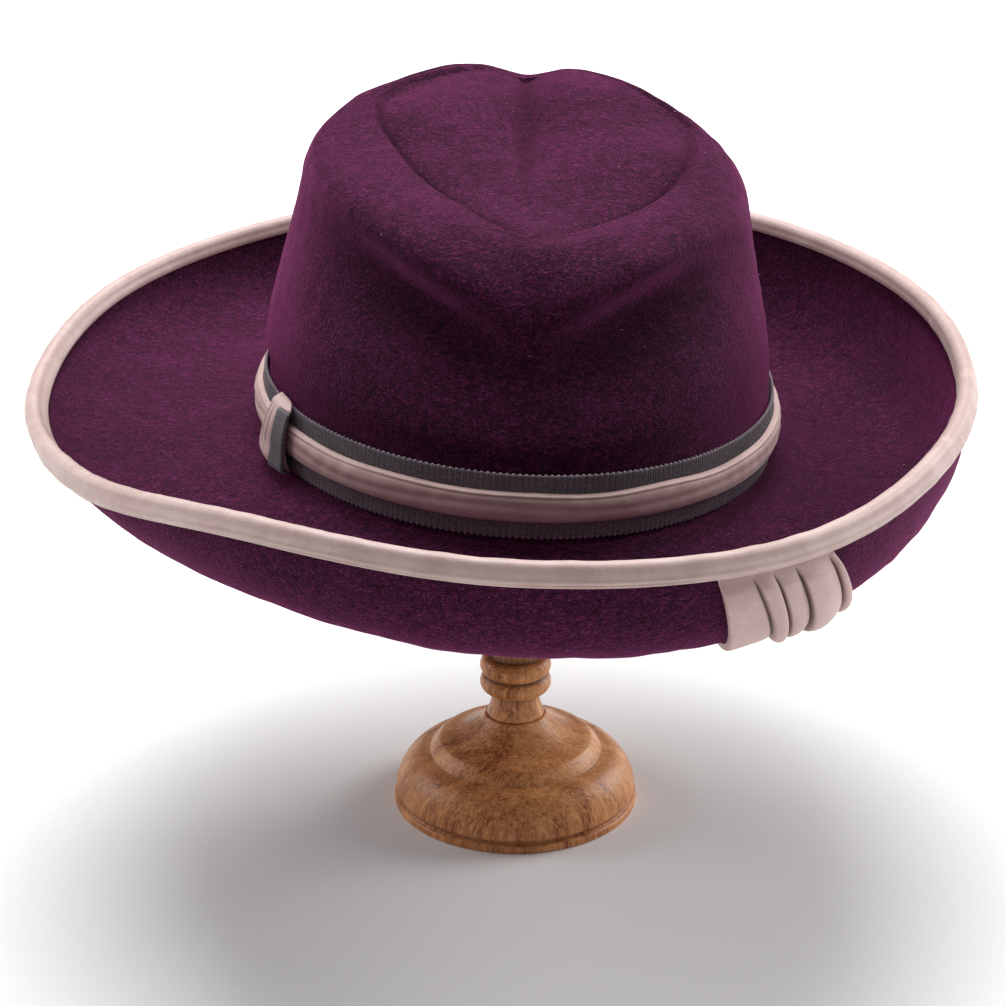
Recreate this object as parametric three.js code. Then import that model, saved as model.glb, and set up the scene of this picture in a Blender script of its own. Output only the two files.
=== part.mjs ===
// A wide-brimmed felt hat on a turned wooden hat stand.
// Millimetres, +Z up. The origin is the middle of the stand's foot, on the floor.
// Angles round the hat are in degrees from +X, anticlockwise from above: 90 is the back, 270 the front.
import * as THREE from "three";
import { mergeVertices } from "three/addons/utils/BufferGeometryUtils.js";

// Felt and head opening
const headHalfWidth = 82;
const headHalfLength = 99;
const felt = 2.2;
const gap = 0.3; // what every piece keeps to its neighbour

// Crown
const crownHeight = 108; // above the level where the brim breaks
const seamLevel = 9; // where crown and brim meet, under the ribbon
const creaseDepth = 3;
const creaseWidth = 3; // from the crest to the bottom of the crease
const tipOut = 8; // how far the crest runs out to a point at the front
const tipSpread = 9; // degrees over which it runs out
const wallSwell = 2.2; // how far the wall swells out over the ribbon at most
const pillowTop = 99.5; // height of the pillows half way from front to back
const pillowSlope = 0.2; // rise towards the back, per length
const pillowReach = 0.75; // share of the way to the middle over which a pillow rises
const valleyDepth = 5;
const valleyWidth = 11;
const valleyAside = -2.7;
const pinchDepth = 11;
const pinchTall = 11; // how high each pinch fades upwards
const pinchDeep = 17; // how far down it fades
const pinchApart = 26; // degrees from the front to the deepest place of each pinch
const pinchMeet = 0.5; // share of the depth where both pinches meet at the front
const pinchMeetSpread = 14; // degrees
const pinchLow = 0.455; // height of the meeting place, as a share of crownHeight
const pinchClimb = 0.44; // how much higher each pinch ends, as a share of crownHeight
const pinchClimbSpread = 60; // degrees

// Brim
const brimReach = 74;
const brimLift = 30;
const brimDroop = 14;
const breakRadius = 3.5;
const breakLevel = -1.5;

// Binding of the brim's edge
const bindingDepth = 5.4;
const bindingWall = 1;
const bindingEase = 0.5; // between felt and satin
const bindingRound = 0.6; // how much the fold swells past the felt's edge

// Ribbon, satin strip and keeper
const ribbonWidth = 21;
const ribbonWall = 1;
const ribbonLean = 0.3;
const satinRaise = 6.6; // over the ribbon's lower edge
const satinWidth = 9.5;
const satinEdge = 1;
const satinPuff = 1.8;
const keeperWall = 1.2;
const keeperOver = 1.4; // how far the keeper runs past the ribbon's upper edge
const keeperSoft = 2.4; // how gently the keeper comes off the satin strip
const keeperSlant = 5; // degrees that its upper end lies ahead of its foot

// Pleated strip under the brim, wider and further round at its foot than at the binding, in degrees
const gatherWall = 1.2;
const pleatRise = 3.6; // how far the folds stand off at the strip's foot
const pleatAtBinding = 0.4; // share of that at the binding
const pleatSkew = 1.5; // over 1 puts each fold's crest past its middle
const gatherFrom = 290.5;
const gatherTo = 305.7;
const gatherFootFrom = 297.5;
const gatherFootTo = 320;
const gatherInner = 0.35; // where its foot lies, as a share of the way from the bend to the binding
const gatherShort = 0.012; // how far it stops short of the binding, as a share of the same way

// Stand
const standHeight = 232.7;
const footRadius = 42.5;
const footHeight = 33;
const neckRadius = 8;
const beadRadius = 12.4;
const beadHeight = 6.4;
const beadsFrom = 42.3;
const domeRadius = 44;
const domeHeight = 26;
const tenonRadius = 5;
const tenonLength = 9;

// How the hat leans on the stand, in degrees: its left side and its front stand a little high
const hatRoll = 3.3;
const hatPitch = 2.5;

// Shares round the crown: of the base's radius for shoulder and crest out, of crownHeight for up,
// of creaseDepth for crease and of wallSwell for swell
const crownRows = [
  { at: 0, shoulderOut: 0.83, shoulderUp: 0.83, crestOut: 0.635, crestUp: 0.915, crease: 1, swell: 0 },
  { at: 30, shoulderOut: 0.725, shoulderUp: 0.9, crestOut: 0.665, crestUp: 0.94, crease: 0.5, swell: 0 },
  { at: 60, shoulderOut: 0.64, shoulderUp: 0.97, crestOut: 0.58, crestUp: 1.015, crease: 0.1, swell: 0 },
  { at: 90, shoulderOut: 0.71, shoulderUp: 0.97, crestOut: 0.6, crestUp: 1.03, crease: 0, swell: 0 },
  { at: 120, shoulderOut: 0.7, shoulderUp: 0.985, crestOut: 0.63, crestUp: 0.995, crease: 0.3, swell: 0.25 },
  { at: 150, shoulderOut: 0.81, shoulderUp: 0.92, crestOut: 0.7, crestUp: 0.96, crease: 1, swell: 0.75 },
  { at: 180, shoulderOut: 0.875, shoulderUp: 0.87, crestOut: 0.565, crestUp: 0.905, crease: 1, swell: 1.1 },
  { at: 210, shoulderOut: 0.865, shoulderUp: 0.825, crestOut: 0.51, crestUp: 0.875, crease: 1, swell: 1.1 },
  { at: 240, shoulderOut: 0.84, shoulderUp: 0.755, crestOut: 0.505, crestUp: 0.84, crease: 1, swell: 0.7 },
  { at: 270, shoulderOut: 0.82, shoulderUp: 0.665, crestOut: 0.58, crestUp: 0.81, crease: 1, swell: 0.3 },
  { at: 300, shoulderOut: 0.84, shoulderUp: 0.74, crestOut: 0.545, crestUp: 0.825, crease: 1, swell: 0 },
  { at: 330, shoulderOut: 0.85, shoulderUp: 0.79, crestOut: 0.58, crestUp: 0.86, crease: 1, swell: 0 },
];

// The wall's line from seam to crest. Each place mixes the radii of base, shoulder and crest, and the
// heights of seam, shoulder and crest; rise adds a share of crownHeight
const wallRows = [
  { base: 1, shoulder: 0, crest: 0, seamUp: 1, shoulderUp: 0, crestUp: 0, rise: 0 },
  { base: 0.974, shoulder: 0, crest: 0, seamUp: 0.64, shoulderUp: 0.36, crestUp: 0, rise: 0 },
  { base: 0.378, shoulder: 0.617, crest: 0, seamUp: 0.28, shoulderUp: 0.72, crestUp: 0, rise: 0 },
  { base: 0, shoulder: 1, crest: 0, seamUp: 0, shoulderUp: 1, crestUp: 0, rise: 0 },
  { base: 0, shoulder: 0.45, crest: 0.55, seamUp: 0, shoulderUp: 0.35, crestUp: 0.65, rise: 0.018 },
  { base: 0, shoulder: 0, crest: 1, seamUp: 0, shoulderUp: 0, crestUp: 1, rise: 0 },
];

// Between which two limits some forms come in or fade: the swell and the valley by height, as shares of
// crownHeight, the valley along the hat, as shares of headHalfLength, the pinches by degrees aside, and
// the swing of the felt's section from level to upright by way up the wall
const limits = {
  swell: { low: 0.21, full: 0.3, gone: 0.9 },
  valleyUp: { low: 0.8, full: 0.93 },
  valleyBack: { low: -0.6, full: 0.35 },
  pinch: { full: 70, gone: 110 },
  swing: { low: 0.25, full: 1 },
};

// Shares round the brim: of brimReach for reach, of brimLift for lift, of brimDroop for droop, of the
// reach for roll, by which the brim swells out past its own edge, and of bindingDepth for hem
const brimRows = [
  { at: 0, reach: 0.925, lift: 1.01, droop: 0.88, roll: 0.05, hem: 1 },
  { at: 30, reach: 0.98, lift: 1.15, droop: 0.83, roll: 0.02, hem: 0.85 },
  { at: 60, reach: 1.01, lift: 1.2, droop: 0.78, roll: 0, hem: 0.7 },
  { at: 90, reach: 1.03, lift: 1.12, droop: 0.68, roll: 0, hem: 0.65 },
  { at: 120, reach: 1.09, lift: 0.76, droop: 0.58, roll: -0.05, hem: 0.7 },
  { at: 150, reach: 1.12, lift: 0.46, droop: 0.48, roll: -0.1, hem: 0.85 },
  { at: 180, reach: 1.1, lift: 0.09, droop: 0.48, roll: -0.14, hem: 1.05 },
  { at: 210, reach: 1.005, lift: 0.19, droop: 0.88, roll: -0.05, hem: 1.05 },
  { at: 240, reach: 0.955, lift: 0.61, droop: 1.38, roll: 0.06, hem: 1 },
  { at: 270, reach: 0.957, lift: 0.64, droop: 1.63, roll: 0.1, hem: 1 },
  { at: 300, reach: 0.943, lift: 0.66, droop: 1.5, roll: 0.12, hem: 1 },
  { at: 330, reach: 0.906, lift: 0.86, droop: 1.02, roll: 0.1, hem: 1 },
];

// The brim's curve beyond the bend: its two middle corners, out as a share of the reach (swell adds the
// roll) and down as a share of the droop
const brimCorners = [
  { out: 0.42, swell: 0, down: 0.75 },
  { out: 1, swell: 1, down: 1.15 },
];

// The two strips of the keeper: where each starts and ends round the hat, in degrees
const keepers = [
  { name: "keeper_satin", from: 199, to: 217.5, layer: 0, colour: 0xb09394 },
  { name: "keeper_ribbon", from: 208.5, to: 217, layer: 1, colour: 0x4d4a50 },
];

// The pleated strip's creases: where each meets the binding and the foot, as shares of the strip's
// width, and how far the panel after it stands off, as a share of pleatRise
const pleatRows = [
  { atEdge: 0, atFoot: 0, rise: 0.35 },
  { atEdge: 0.24, atFoot: 0.39, rise: 0.8 },
  { atEdge: 0.43, atFoot: 0.47, rise: 1 },
  { atEdge: 0.63, atFoot: 0.73, rise: 0.9 },
  { atEdge: 0.95, atFoot: 0.94, rise: 0.4 },
  { atEdge: 1, atFoot: 1, rise: 0 },
];

// How many flats each round form has
const sides = { hat: 56, foot: 28, stem: 16, dome: 24 };

// A value between the rows of a table that goes once round, as a Catmull-Rom spline
function round(rows, column, degrees) {
  const place = (((degrees % 360) + 360) % 360) / (360 / rows.length);
  const row = Math.floor(place);
  const part = place - row;
  const [a, b, c, d] = [-1, 0, 1, 2].map((k) => rows[(row + k + rows.length) % rows.length][column]);
  return b + 0.5 * part * (c - a + part * (2 * a - 5 * b + 4 * c - d + part * (3 * (b - c) + d - a)));
}

// A value along an open row of values, share 0 to 1, as a Catmull-Rom spline
function through(values, share) {
  const last = values.length - 1;
  const place = Math.min(Math.max(share, 0), 1) * last;
  const step = Math.min(Math.floor(place), last - 1);
  const part = place - step;
  const b = values[step];
  const c = values[step + 1];
  const a = step > 0 ? values[step - 1] : 2 * b - c;
  const d = step + 2 <= last ? values[step + 2] : 2 * c - b;
  return b + 0.5 * part * (c - a + part * (2 * a - 5 * b + 4 * c - d + part * (3 * (b - c) + d - a)));
}

const smooth = (low, high, value) => THREE.MathUtils.smoothstep(value, low, high);
const radians = THREE.MathUtils.degToRad;

// Radius of the head oval, grown by a width
function oval(degrees, grow) {
  const across = headHalfWidth + grow;
  const along = headHalfLength + grow;
  const cos = Math.cos(radians(degrees));
  const sin = Math.sin(radians(degrees));
  return (across * along) / Math.hypot(along * cos, across * sin);
}

function place(degrees, radius, height) {
  return [radius * Math.cos(radians(degrees)), radius * Math.sin(radians(degrees)), height];
}

// A cloth or felt sheet with thickness. face(u, v, side) gives a point of its outer side (1) or inner
// side (0); columns and rows list u and v. The outer side looks along (step in u) x (step in v).
// A closed sheet goes once round; a sheet with a pole shrinks to a point at its last row.
function sheet(columns, rows, face, { closed = false, pole = false } = {}) {
  const points = [];
  const index = [];
  const width = columns.length;
  const tall = pole ? rows.length - 1 : rows.length;
  const at = (side, i, j) => (side * tall + j) * width + (i % width);
  for (const side of [0, 1])
    for (let j = 0; j < tall; j++) for (const u of columns) points.push(...face(u, rows[j], side));
  const quad = (a, b, c, d) => index.push(a, b, c, a, c, d);
  const spans = closed ? width : width - 1;
  for (let i = 0; i < spans; i++) {
    for (let j = 0; j < tall - 1; j++) {
      quad(at(1, i, j), at(1, i + 1, j), at(1, i + 1, j + 1), at(1, i, j + 1));
      quad(at(0, i, j), at(0, i, j + 1), at(0, i + 1, j + 1), at(0, i + 1, j));
    }
    quad(at(0, i, 0), at(0, i + 1, 0), at(1, i + 1, 0), at(1, i, 0));
    if (!pole) quad(at(0, i, tall - 1), at(1, i, tall - 1), at(1, i + 1, tall - 1), at(0, i + 1, tall - 1));
  }
  if (pole) {
    const top = points.length / 3;
    for (const side of [0, 1]) points.push(...face(columns[0], rows[tall], side));
    for (let i = 0; i < spans; i++) {
      index.push(top, at(0, i + 1, tall - 1), at(0, i, tall - 1));
      index.push(top + 1, at(1, i, tall - 1), at(1, i + 1, tall - 1));
    }
  }
  if (!closed)
    for (let j = 0; j < tall - 1; j++) {
      quad(at(0, 0, j), at(1, 0, j), at(1, 0, j + 1), at(0, 0, j + 1));
      quad(at(0, width - 1, j), at(0, width - 1, j + 1), at(1, width - 1, j + 1), at(1, width - 1, j));
    }
  const made = new THREE.BufferGeometry();
  made.setAttribute("position", new THREE.Float32BufferAttribute(points, 3));
  made.setIndex(index);
  return made;
}

const steps = (count, from = 0, to = 1) =>
  Array.from({ length: count + 1 }, (_, i) => from + ((to - from) * i) / count);
const allRound = steps(sides.hat, 0, 360).slice(0, sides.hat);

// 1 at the middle of a hump that falls off like a bell to both sides
const bell = (value, width) => Math.exp(-((value / width) ** 2));

// How many degrees a place lies aside from the front
const fromFront = (degrees) => Math.abs(((degrees + 270) % 360) - 180);

// The crown's outer face. way 0 to 1 climbs the wall from the seam to the crest, 1 to 2 crosses the
// top from the crest to the middle.
function crownPoint(degrees, way) {
  const base = oval(degrees, felt);
  const share = (column) => round(crownRows, column, degrees);
  const shoulder = share("shoulderOut") * base;
  const shoulderUp = share("shoulderUp") * crownHeight;
  const crest = share("crestOut") * base + tipOut * Math.exp(-fromFront(degrees) / tipSpread);
  const crestUp = share("crestUp") * crownHeight;
  const wall = Math.min(way, 1);
  const outs = wallRows.map((row) => row.base * base + row.shoulder * shoulder + row.crest * crest);
  const ups = wallRows.map((row) => {
    const mixed = row.seamUp * seamLevel + row.shoulderUp * shoulderUp + row.crestUp * crestUp;
    return mixed + row.rise * crownHeight;
  });
  let height = through(ups, wall);
  let radius = through(outs, wall) - pinch(degrees, height) + wallSwell * share("swell") * swellAt(height);
  if (way > 1) {
    const inward = (way - 1) * crest;
    radius *= 2 - way;
    const back = radius * Math.sin(radians(degrees));
    const pillow = pillowTop + pillowSlope * back;
    const crease = share("crease") * creaseDepth * (inward / creaseWidth);
    height = crestUp + (pillow - crestUp) * smooth(0, pillowReach * crest, inward);
    height -= crease * Math.exp(1 - inward / creaseWidth);
  }
  const [x, y] = place(degrees, radius, height);
  const { valleyUp, valleyBack } = limits;
  const behind =
    smooth(valleyBack.low * headHalfLength, valleyBack.full * headHalfLength, y) *
    smooth(valleyUp.low * crownHeight, valleyUp.full * crownHeight, height);
  height -= valleyDepth * behind * bell(x - valleyAside, valleyWidth);
  return { radius, height };
}

function swellAt(height) {
  const { low, full, gone } = limits.swell;
  const up = height / crownHeight;
  return smooth(low, full, up) * (1 - smooth(full, gone, up));
}

// How far the two pinches beside the front push the wall in: a trough that starts low at the front and
// climbs to both sides, deepest at pinchApart
function pinch(degrees, height) {
  const aside = fromFront(degrees);
  const share = (aside / pinchApart) * Math.exp(1 - aside / pinchApart);
  const depth = pinchDepth * (share ** 2 + pinchMeet * bell(aside, pinchMeetSpread));
  const trough = crownHeight * (pinchLow + pinchClimb * (1 - Math.exp(-aside / pinchClimbSpread)));
  const near = 1 - smooth(limits.pinch.full, limits.pinch.gone, aside);
  return depth * near * bell(height - trough, height > trough ? pinchTall : pinchDeep);
}

// The inner face lies one felt further in, along a line that swings from level at the foot to upright
// on the top
function crownFace(degrees, way, side) {
  const { radius, height } = crownPoint(degrees, way);
  const swing = (Math.PI / 2) * smooth(limits.swing.low, limits.swing.full, way);
  const inset = side ? 0 : felt;
  const level = inset * Math.cos(swing) * Math.min(1, 2 - way);
  return place(degrees, radius - level, height - inset * Math.sin(swing));
}

// The brim's section beyond the bend, one curve for each angle
const brimProfiles = new Map();
function brimProfile(degrees) {
  if (!brimProfiles.has(degrees)) {
    const wall = oval(degrees, felt / 2);
    const reach = round(brimRows, "reach", degrees) * brimReach;
    const lift = round(brimRows, "lift", degrees) * brimLift;
    const droop = round(brimRows, "droop", degrees) * brimDroop;
    const swell = round(brimRows, "roll", degrees) * reach;
    const corners = [
      [wall + breakRadius, breakLevel],
      ...brimCorners.map((corner) => [
        wall + corner.out * reach + corner.swell * swell,
        breakLevel - corner.down * droop,
      ]),
      [wall + reach - felt / 2, lift],
    ].map(([x, y]) => new THREE.Vector2(x, y));
    brimProfiles.set(degrees, new THREE.CubicBezierCurve(...corners));
  }
  return brimProfiles.get(degrees);
}

// The brim's middle: from the top of its collar (way -1) down to the bend (-0.5), round it (0), out to
// the binding's lip (1) and on to the edge (2), with the unit direction that it runs in
function brimMiddle(degrees, way) {
  const wall = oval(degrees, felt / 2);
  const bendUp = breakLevel + breakRadius;
  if (way <= -0.5) {
    const share = (-0.5 - way) / 0.5;
    return { radius: wall, height: bendUp + share * (seamLevel - gap - bendUp), out: 0, up: -1 };
  }
  if (way <= 0) {
    const turn = (Math.PI / 2) * (1 + way / 0.5);
    return {
      radius: wall + breakRadius * (1 - Math.cos(turn)),
      height: bendUp - breakRadius * Math.sin(turn),
      out: Math.sin(turn),
      up: -Math.cos(turn),
    };
  }
  const profile = brimProfile(degrees);
  const lip = 1 - (round(brimRows, "hem", degrees) * bindingDepth) / profile.getLength();
  const share = way < 1 ? way * lip : Math.min(lip + (way - 1) * (1 - lip), 1);
  const middle = profile.getPointAt(share);
  const run = profile.getTangentAt(share);
  return { radius: middle.x, height: middle.y, out: run.x, up: run.y };
}

// A point beside the brim's middle, at a height over it
function besideBrim(degrees, way, above) {
  const { radius, height, out, up } = brimMiddle(degrees, way);
  return place(degrees, radius - above * up, height + above * out);
}

// The binding is a U round the edge: way 1 to 2 is its leg under the brim, 2 to 3 the fold, 3 to 4 the
// leg above
function bindingFace(degrees, way, side) {
  const half = felt / 2 + bindingEase + (side ? bindingWall : 0);
  if (way <= 2) return besideBrim(degrees, way, -half);
  if (way >= 3) return besideBrim(degrees, 5 - way, half);
  const edge = brimMiddle(degrees, 2);
  const turn = Math.PI * (way - 2);
  const beyond = (bindingEase + (side ? bindingWall + bindingRound : 0)) * Math.sin(turn);
  const above = -half * Math.cos(turn);
  return place(
    degrees,
    edge.radius + beyond * edge.out - above * edge.up,
    edge.height + beyond * edge.up + above * edge.out,
  );
}

// The ribbon stands on the hollow of the bend, where its foot meets it
const bendHollow = breakRadius - felt / 2;
const ribbonLow = breakLevel + breakRadius - Math.sqrt(bendHollow ** 2 - (bendHollow - gap) ** 2) + 2 * gap;
const ribbonHigh = ribbonLow + ribbonWidth;
const satinLow = ribbonLow + satinRaise;
const satinHigh = satinLow + satinWidth;

// How far the bands lean in towards the crown at a height
const leanOf = (height) => ribbonLean * smooth(seamLevel, ribbonHigh, height);
const overFelt = felt + gap;
const overRibbon = overFelt + ribbonWall + gap;

function ribbonFace(degrees, height, side) {
  return place(degrees, oval(degrees, overFelt - leanOf(height) + side * ribbonWall), height);
}

// The satin strip is a puffed fold: thickest in its middle
function satinWall(share) {
  return satinEdge + satinPuff * Math.sin(Math.PI * share) ** 0.6;
}

function satinFace(degrees, share, side) {
  const height = satinLow + share * (satinHigh - satinLow);
  return place(degrees, oval(degrees, overRibbon - leanOf(height) + side * satinWall(share)), height);
}

// A keeper strip runs over both bands; layer 1 lies on layer 0
function keeperFace(layer) {
  return (degrees, share, side) => {
    const top = ribbonHigh + keeperOver;
    const height = ribbonLow + share * (top - ribbonLow);
    const at = degrees + keeperSlant * (share - 1 / 2);
    const below = 1 - smooth(satinLow - keeperSoft, satinLow, height);
    const above = smooth(satinHigh, satinHigh + keeperSoft, height);
    const onSatin = 1 - below - above;
    const stack = overRibbon + onSatin * (satinEdge + satinPuff + gap) + layer * (keeperWall + gap);
    return place(at, oval(at, stack - leanOf(height) + side * keeperWall), height);
  };
}

// The pleated strip hangs under the brim from the binding's lip. pleat counts its panels from 0, and
// each panel stands off as a hump that is steeper on its far side; all deepen towards the foot
function gatherFace(pleat, way, side) {
  const away = (1 - way) / (1 - gatherInner);
  const from = gatherFrom + (gatherFootFrom - gatherFrom) * away;
  const to = gatherTo + (gatherFootTo - gatherTo) * away;
  const panel = Math.min(Math.floor(pleat), pleatRows.length - 2);
  const part = pleat - panel;
  const [left, right] = [panel, panel + 1].map((row) => {
    const { atEdge, atFoot } = pleatRows[row];
    return atEdge + (atFoot - atEdge) * away;
  });
  const degrees = from + (to - from) * (left + (right - left) * part);
  const hump = Math.sin(Math.PI * part ** pleatSkew) * pleatRows[panel].rise;
  const deepens = pleatAtBinding + (1 - pleatAtBinding) * away;
  const below = felt / 2 + gap + pleatRise * hump * deepens;
  return besideBrim(degrees, way, -below - side * gatherWall);
}

// A turned piece from its outline of [radius, height] corners, foot first
function turned(outline, around) {
  const lathe = new THREE.LatheGeometry(outline.map(([r, z]) => new THREE.Vector2(r, z)), around);
  lathe.rotateX(Math.PI / 2);
  lathe.deleteAttribute("normal");
  lathe.deleteAttribute("uv");
  return mergeVertices(lathe, 1e-3);
}

// A bead's outline between two heights, bulging from the neck to its radius
function bead(from, height, neck, radius) {
  return [0.12, 0.35, 0.65, 0.88].map((share) => [
    neck + (radius - neck) * Math.sin(Math.PI * share) ** 0.5,
    from + share * height,
  ]);
}

const socket = tenonRadius + gap;
const domeFoot = standHeight - domeHeight;

function footOutline() {
  return [
    [0, 0],
    [footRadius, 0],
    [footRadius, 2.6],
    [footRadius - 1.4, 3.4],
    [footRadius - 0.7, 4.8],
    [footRadius - 2.4, 9],
    [footRadius - 8, 15],
    [footRadius - 12, 18.5],
    [footRadius - 13, 22.5],
    [footRadius - 16, 23.4],
    [footRadius - 24, 25.5],
    [neckRadius + 3, footHeight],
    [socket, footHeight],
    [socket, footHeight - tenonLength - gap],
    [0, footHeight - tenonLength - gap],
  ];
}

function stemOutline() {
  const foot = footHeight + gap;
  const top = domeFoot - gap;
  const waist = (beadsFrom + 2 * beadHeight + top) / 2;
  return [
    [0, foot - tenonLength],
    [tenonRadius, foot - tenonLength],
    [tenonRadius, foot],
    [neckRadius + 2, foot],
    [neckRadius, beadsFrom],
    ...bead(beadsFrom, beadHeight, neckRadius + 2, beadRadius),
    ...bead(beadsFrom + beadHeight, beadHeight, neckRadius + 2, beadRadius),
    [neckRadius, beadsFrom + 2 * beadHeight],
    [neckRadius + 2.5, waist],
    [neckRadius, top - 8],
    [neckRadius + 3, top - 4],
    [neckRadius + 3, top],
    [tenonRadius, top],
    [tenonRadius, top + tenonLength],
    [0, top + tenonLength],
  ];
}

// The rounded head: a quarter ellipse over a short rim
function domeRise(radius) {
  const rim = 5;
  return domeFoot + rim + (domeHeight - rim) * Math.sqrt(Math.max(0, 1 - (radius / domeRadius) ** 2));
}

function domeOutline() {
  const arc = steps(7, 0, 90).map((turn) => domeRadius * Math.cos(radians(turn)));
  return [
    [0, domeFoot + tenonLength],
    [socket, domeFoot + tenonLength],
    [socket, domeFoot],
    [domeRadius - 4, domeFoot],
    [domeRadius, domeFoot + 3],
    ...arc.slice(0, -1).map((radius) => [radius, domeRise(radius)]),
    [0, standHeight],
  ];
}

// The height of the hat's origin at which the crown's inner face rests just over the head
function seatHeight(turn) {
  let seat = -Infinity;
  for (const degrees of allRound)
    for (const way of steps(24, 0.6, 2)) {
      const inner = new THREE.Vector3(...crownFace(degrees, way, 0)).applyEuler(turn);
      const radius = Math.hypot(inner.x, inner.y);
      if (radius < domeRadius) seat = Math.max(seat, domeRise(radius) - inner.z);
    }
  return seat + gap;
}

function mesh(name, geometry, colour, roughness) {
  const material = new THREE.MeshStandardMaterial({ color: colour, roughness, metalness: 0 });
  const made = new THREE.Mesh(geometry, material);
  made.name = name;
  return made;
}

const hat = new THREE.Group();
hat.rotation.set(radians(-hatPitch), radians(hatRoll), 0);
hat.position.z = seatHeight(hat.rotation);

const crownWays = [0, 0.1, 0.2, 0.4, 0.52, 0.64, 0.76, 0.88, 1, 1.025, 1.055, 1.1, 1.2, 1.35, 1.6, 1.8, 2];
const brimWays = [-1, -0.5, -0.25, 0, 0.15, 0.3, 0.45, 0.6, 0.8, 1, 2];
const bindingWays = [1, 2, 2.2, 2.5, 2.8, 3, 4];
const gatherWays = [gatherInner, 0.45, 0.6, 0.8, 1 - gatherShort];
const gatherPleats = steps(4 * (pleatRows.length - 1), 0, pleatRows.length - 1);
const ribbonLevels = [ribbonLow, ribbonHigh];
const satinShares = [0, 0.2, 0.8, 1];
const brimFace = (degrees, way, side) => besideBrim(degrees, way, side ? -felt / 2 : felt / 2);

hat.add(mesh("crown", sheet(allRound, crownWays, crownFace, { closed: true, pole: true }), 0x4f1f43, 0.95));
hat.add(mesh("brim", sheet(allRound, brimWays, brimFace, { closed: true }), 0x4a1b3e, 0.95));
hat.add(mesh("brim_binding", sheet(allRound, bindingWays, bindingFace, { closed: true }), 0xb09394, 0.6));
hat.add(mesh("brim_gather", sheet(gatherPleats, gatherWays, gatherFace), 0xb09394, 0.6));
hat.add(mesh("ribbon_band", sheet(allRound, ribbonLevels, ribbonFace, { closed: true }), 0x4d4a50, 0.85));
hat.add(mesh("satin_band", sheet(allRound, satinShares, satinFace, { closed: true }), 0xb09394, 0.5));
for (const { name, from, to, layer, colour } of keepers)
  hat.add(mesh(name, sheet(steps(4, from, to), steps(7), keeperFace(layer)), colour, 0.6));

const stand = new THREE.Group();
stand.add(mesh("stand_foot", turned(footOutline(), sides.foot), 0x9a6b45, 0.5));
stand.add(mesh("stand_stem", turned(stemOutline(), sides.stem), 0x9a6b45, 0.5));
stand.add(mesh("stand_head", turned(domeOutline(), sides.dome), 0x9a6b45, 0.5));

const group = new THREE.Group();
group.add(hat, stand);
export default group;
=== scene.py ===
import math

import bpy
import numpy as np
from mathutils import Euler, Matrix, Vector


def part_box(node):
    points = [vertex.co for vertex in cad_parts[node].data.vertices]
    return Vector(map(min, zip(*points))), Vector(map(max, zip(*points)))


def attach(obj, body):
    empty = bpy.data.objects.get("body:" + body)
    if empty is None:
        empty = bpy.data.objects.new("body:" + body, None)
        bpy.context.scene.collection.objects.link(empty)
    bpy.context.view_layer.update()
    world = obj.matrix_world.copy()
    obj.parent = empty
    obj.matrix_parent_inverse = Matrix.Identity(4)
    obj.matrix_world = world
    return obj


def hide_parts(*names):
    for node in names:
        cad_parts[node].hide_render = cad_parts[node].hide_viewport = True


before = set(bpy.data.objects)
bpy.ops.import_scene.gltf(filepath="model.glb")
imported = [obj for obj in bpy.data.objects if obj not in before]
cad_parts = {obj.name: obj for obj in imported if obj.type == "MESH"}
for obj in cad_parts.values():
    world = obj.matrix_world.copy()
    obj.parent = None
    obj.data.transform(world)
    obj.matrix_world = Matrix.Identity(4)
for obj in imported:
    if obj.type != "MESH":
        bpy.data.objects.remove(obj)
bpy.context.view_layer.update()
mm = 0.001

# The hat is worked out upright in millimetres, with the level where its brim breaks at 0, then leant on the stand.
# Angles round it are in degrees from +X, anticlockwise from above: 90 is the back, 270 the front.
hatPose = {
    "roll": 3.3,  # degrees that the left side stands high
    "pitch": 2.5,  # degrees that the front stands high
}
bandMiddle = 11.94  # height of the ribbon's middle in the hat's own frame

hatTurn = Euler((math.radians(-hatPose["pitch"]), math.radians(hatPose["roll"]), 0), "ZYX").to_matrix()
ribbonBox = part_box("ribbon_band")
hatSeat = (ribbonBox[0].z + ribbonBox[1].z) / 2 - hatTurn[2][2] * bandMiddle * mm


# Camera: it looks down on the hat from the front, at the height and distance of the photograph
view = {
    "distance": 1.2,  # metres from the hat's middle
    "raise": 22.5,  # degrees that the camera stands above the hat's middle
    "tilt": 66.324, "swing": 0.2256, "lens": 127.24,
}


def makeCamera():
    data = bpy.data.cameras.new("camera")
    data.lens = view["lens"]
    data.sensor_width = 36
    data.clip_start = 0.05
    made = bpy.data.objects.new("camera", data)
    up = math.radians(view["raise"])
    made.location = (0, -view["distance"] * math.cos(up), hatSeat + view["distance"] * math.sin(up))
    made.rotation_euler = (math.radians(view["tilt"]), 0, math.radians(view["swing"]))
    bpy.context.scene.collection.objects.link(made)
    bpy.context.scene.camera = made


makeCamera()
print("camera set, hat seat", round(hatSeat / mm, 2), "mm")


# Blend from 0 to 1 between two values, level at both ends
def smooth(low, high, value):
    share = np.clip((value - low) / (high - low), 0, 1)
    return share * share * (3 - 2 * share)


# 1 inside a window, blending from 0 between its first two limits and back between its last two
def window(limits, value):
    return smooth(*limits[:2], value) * (1 - smooth(*limits[2:], value))


# Catmull-Rom curve from b to c, a part of the way along, whose slopes at its ends follow a and d
def splined(part, a, b, c, d):
    return b + 0.5 * part * (c - a + part * (2 * a - 5 * b + 4 * c - d + part * (3 * (b - c) + d - a)))


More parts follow.
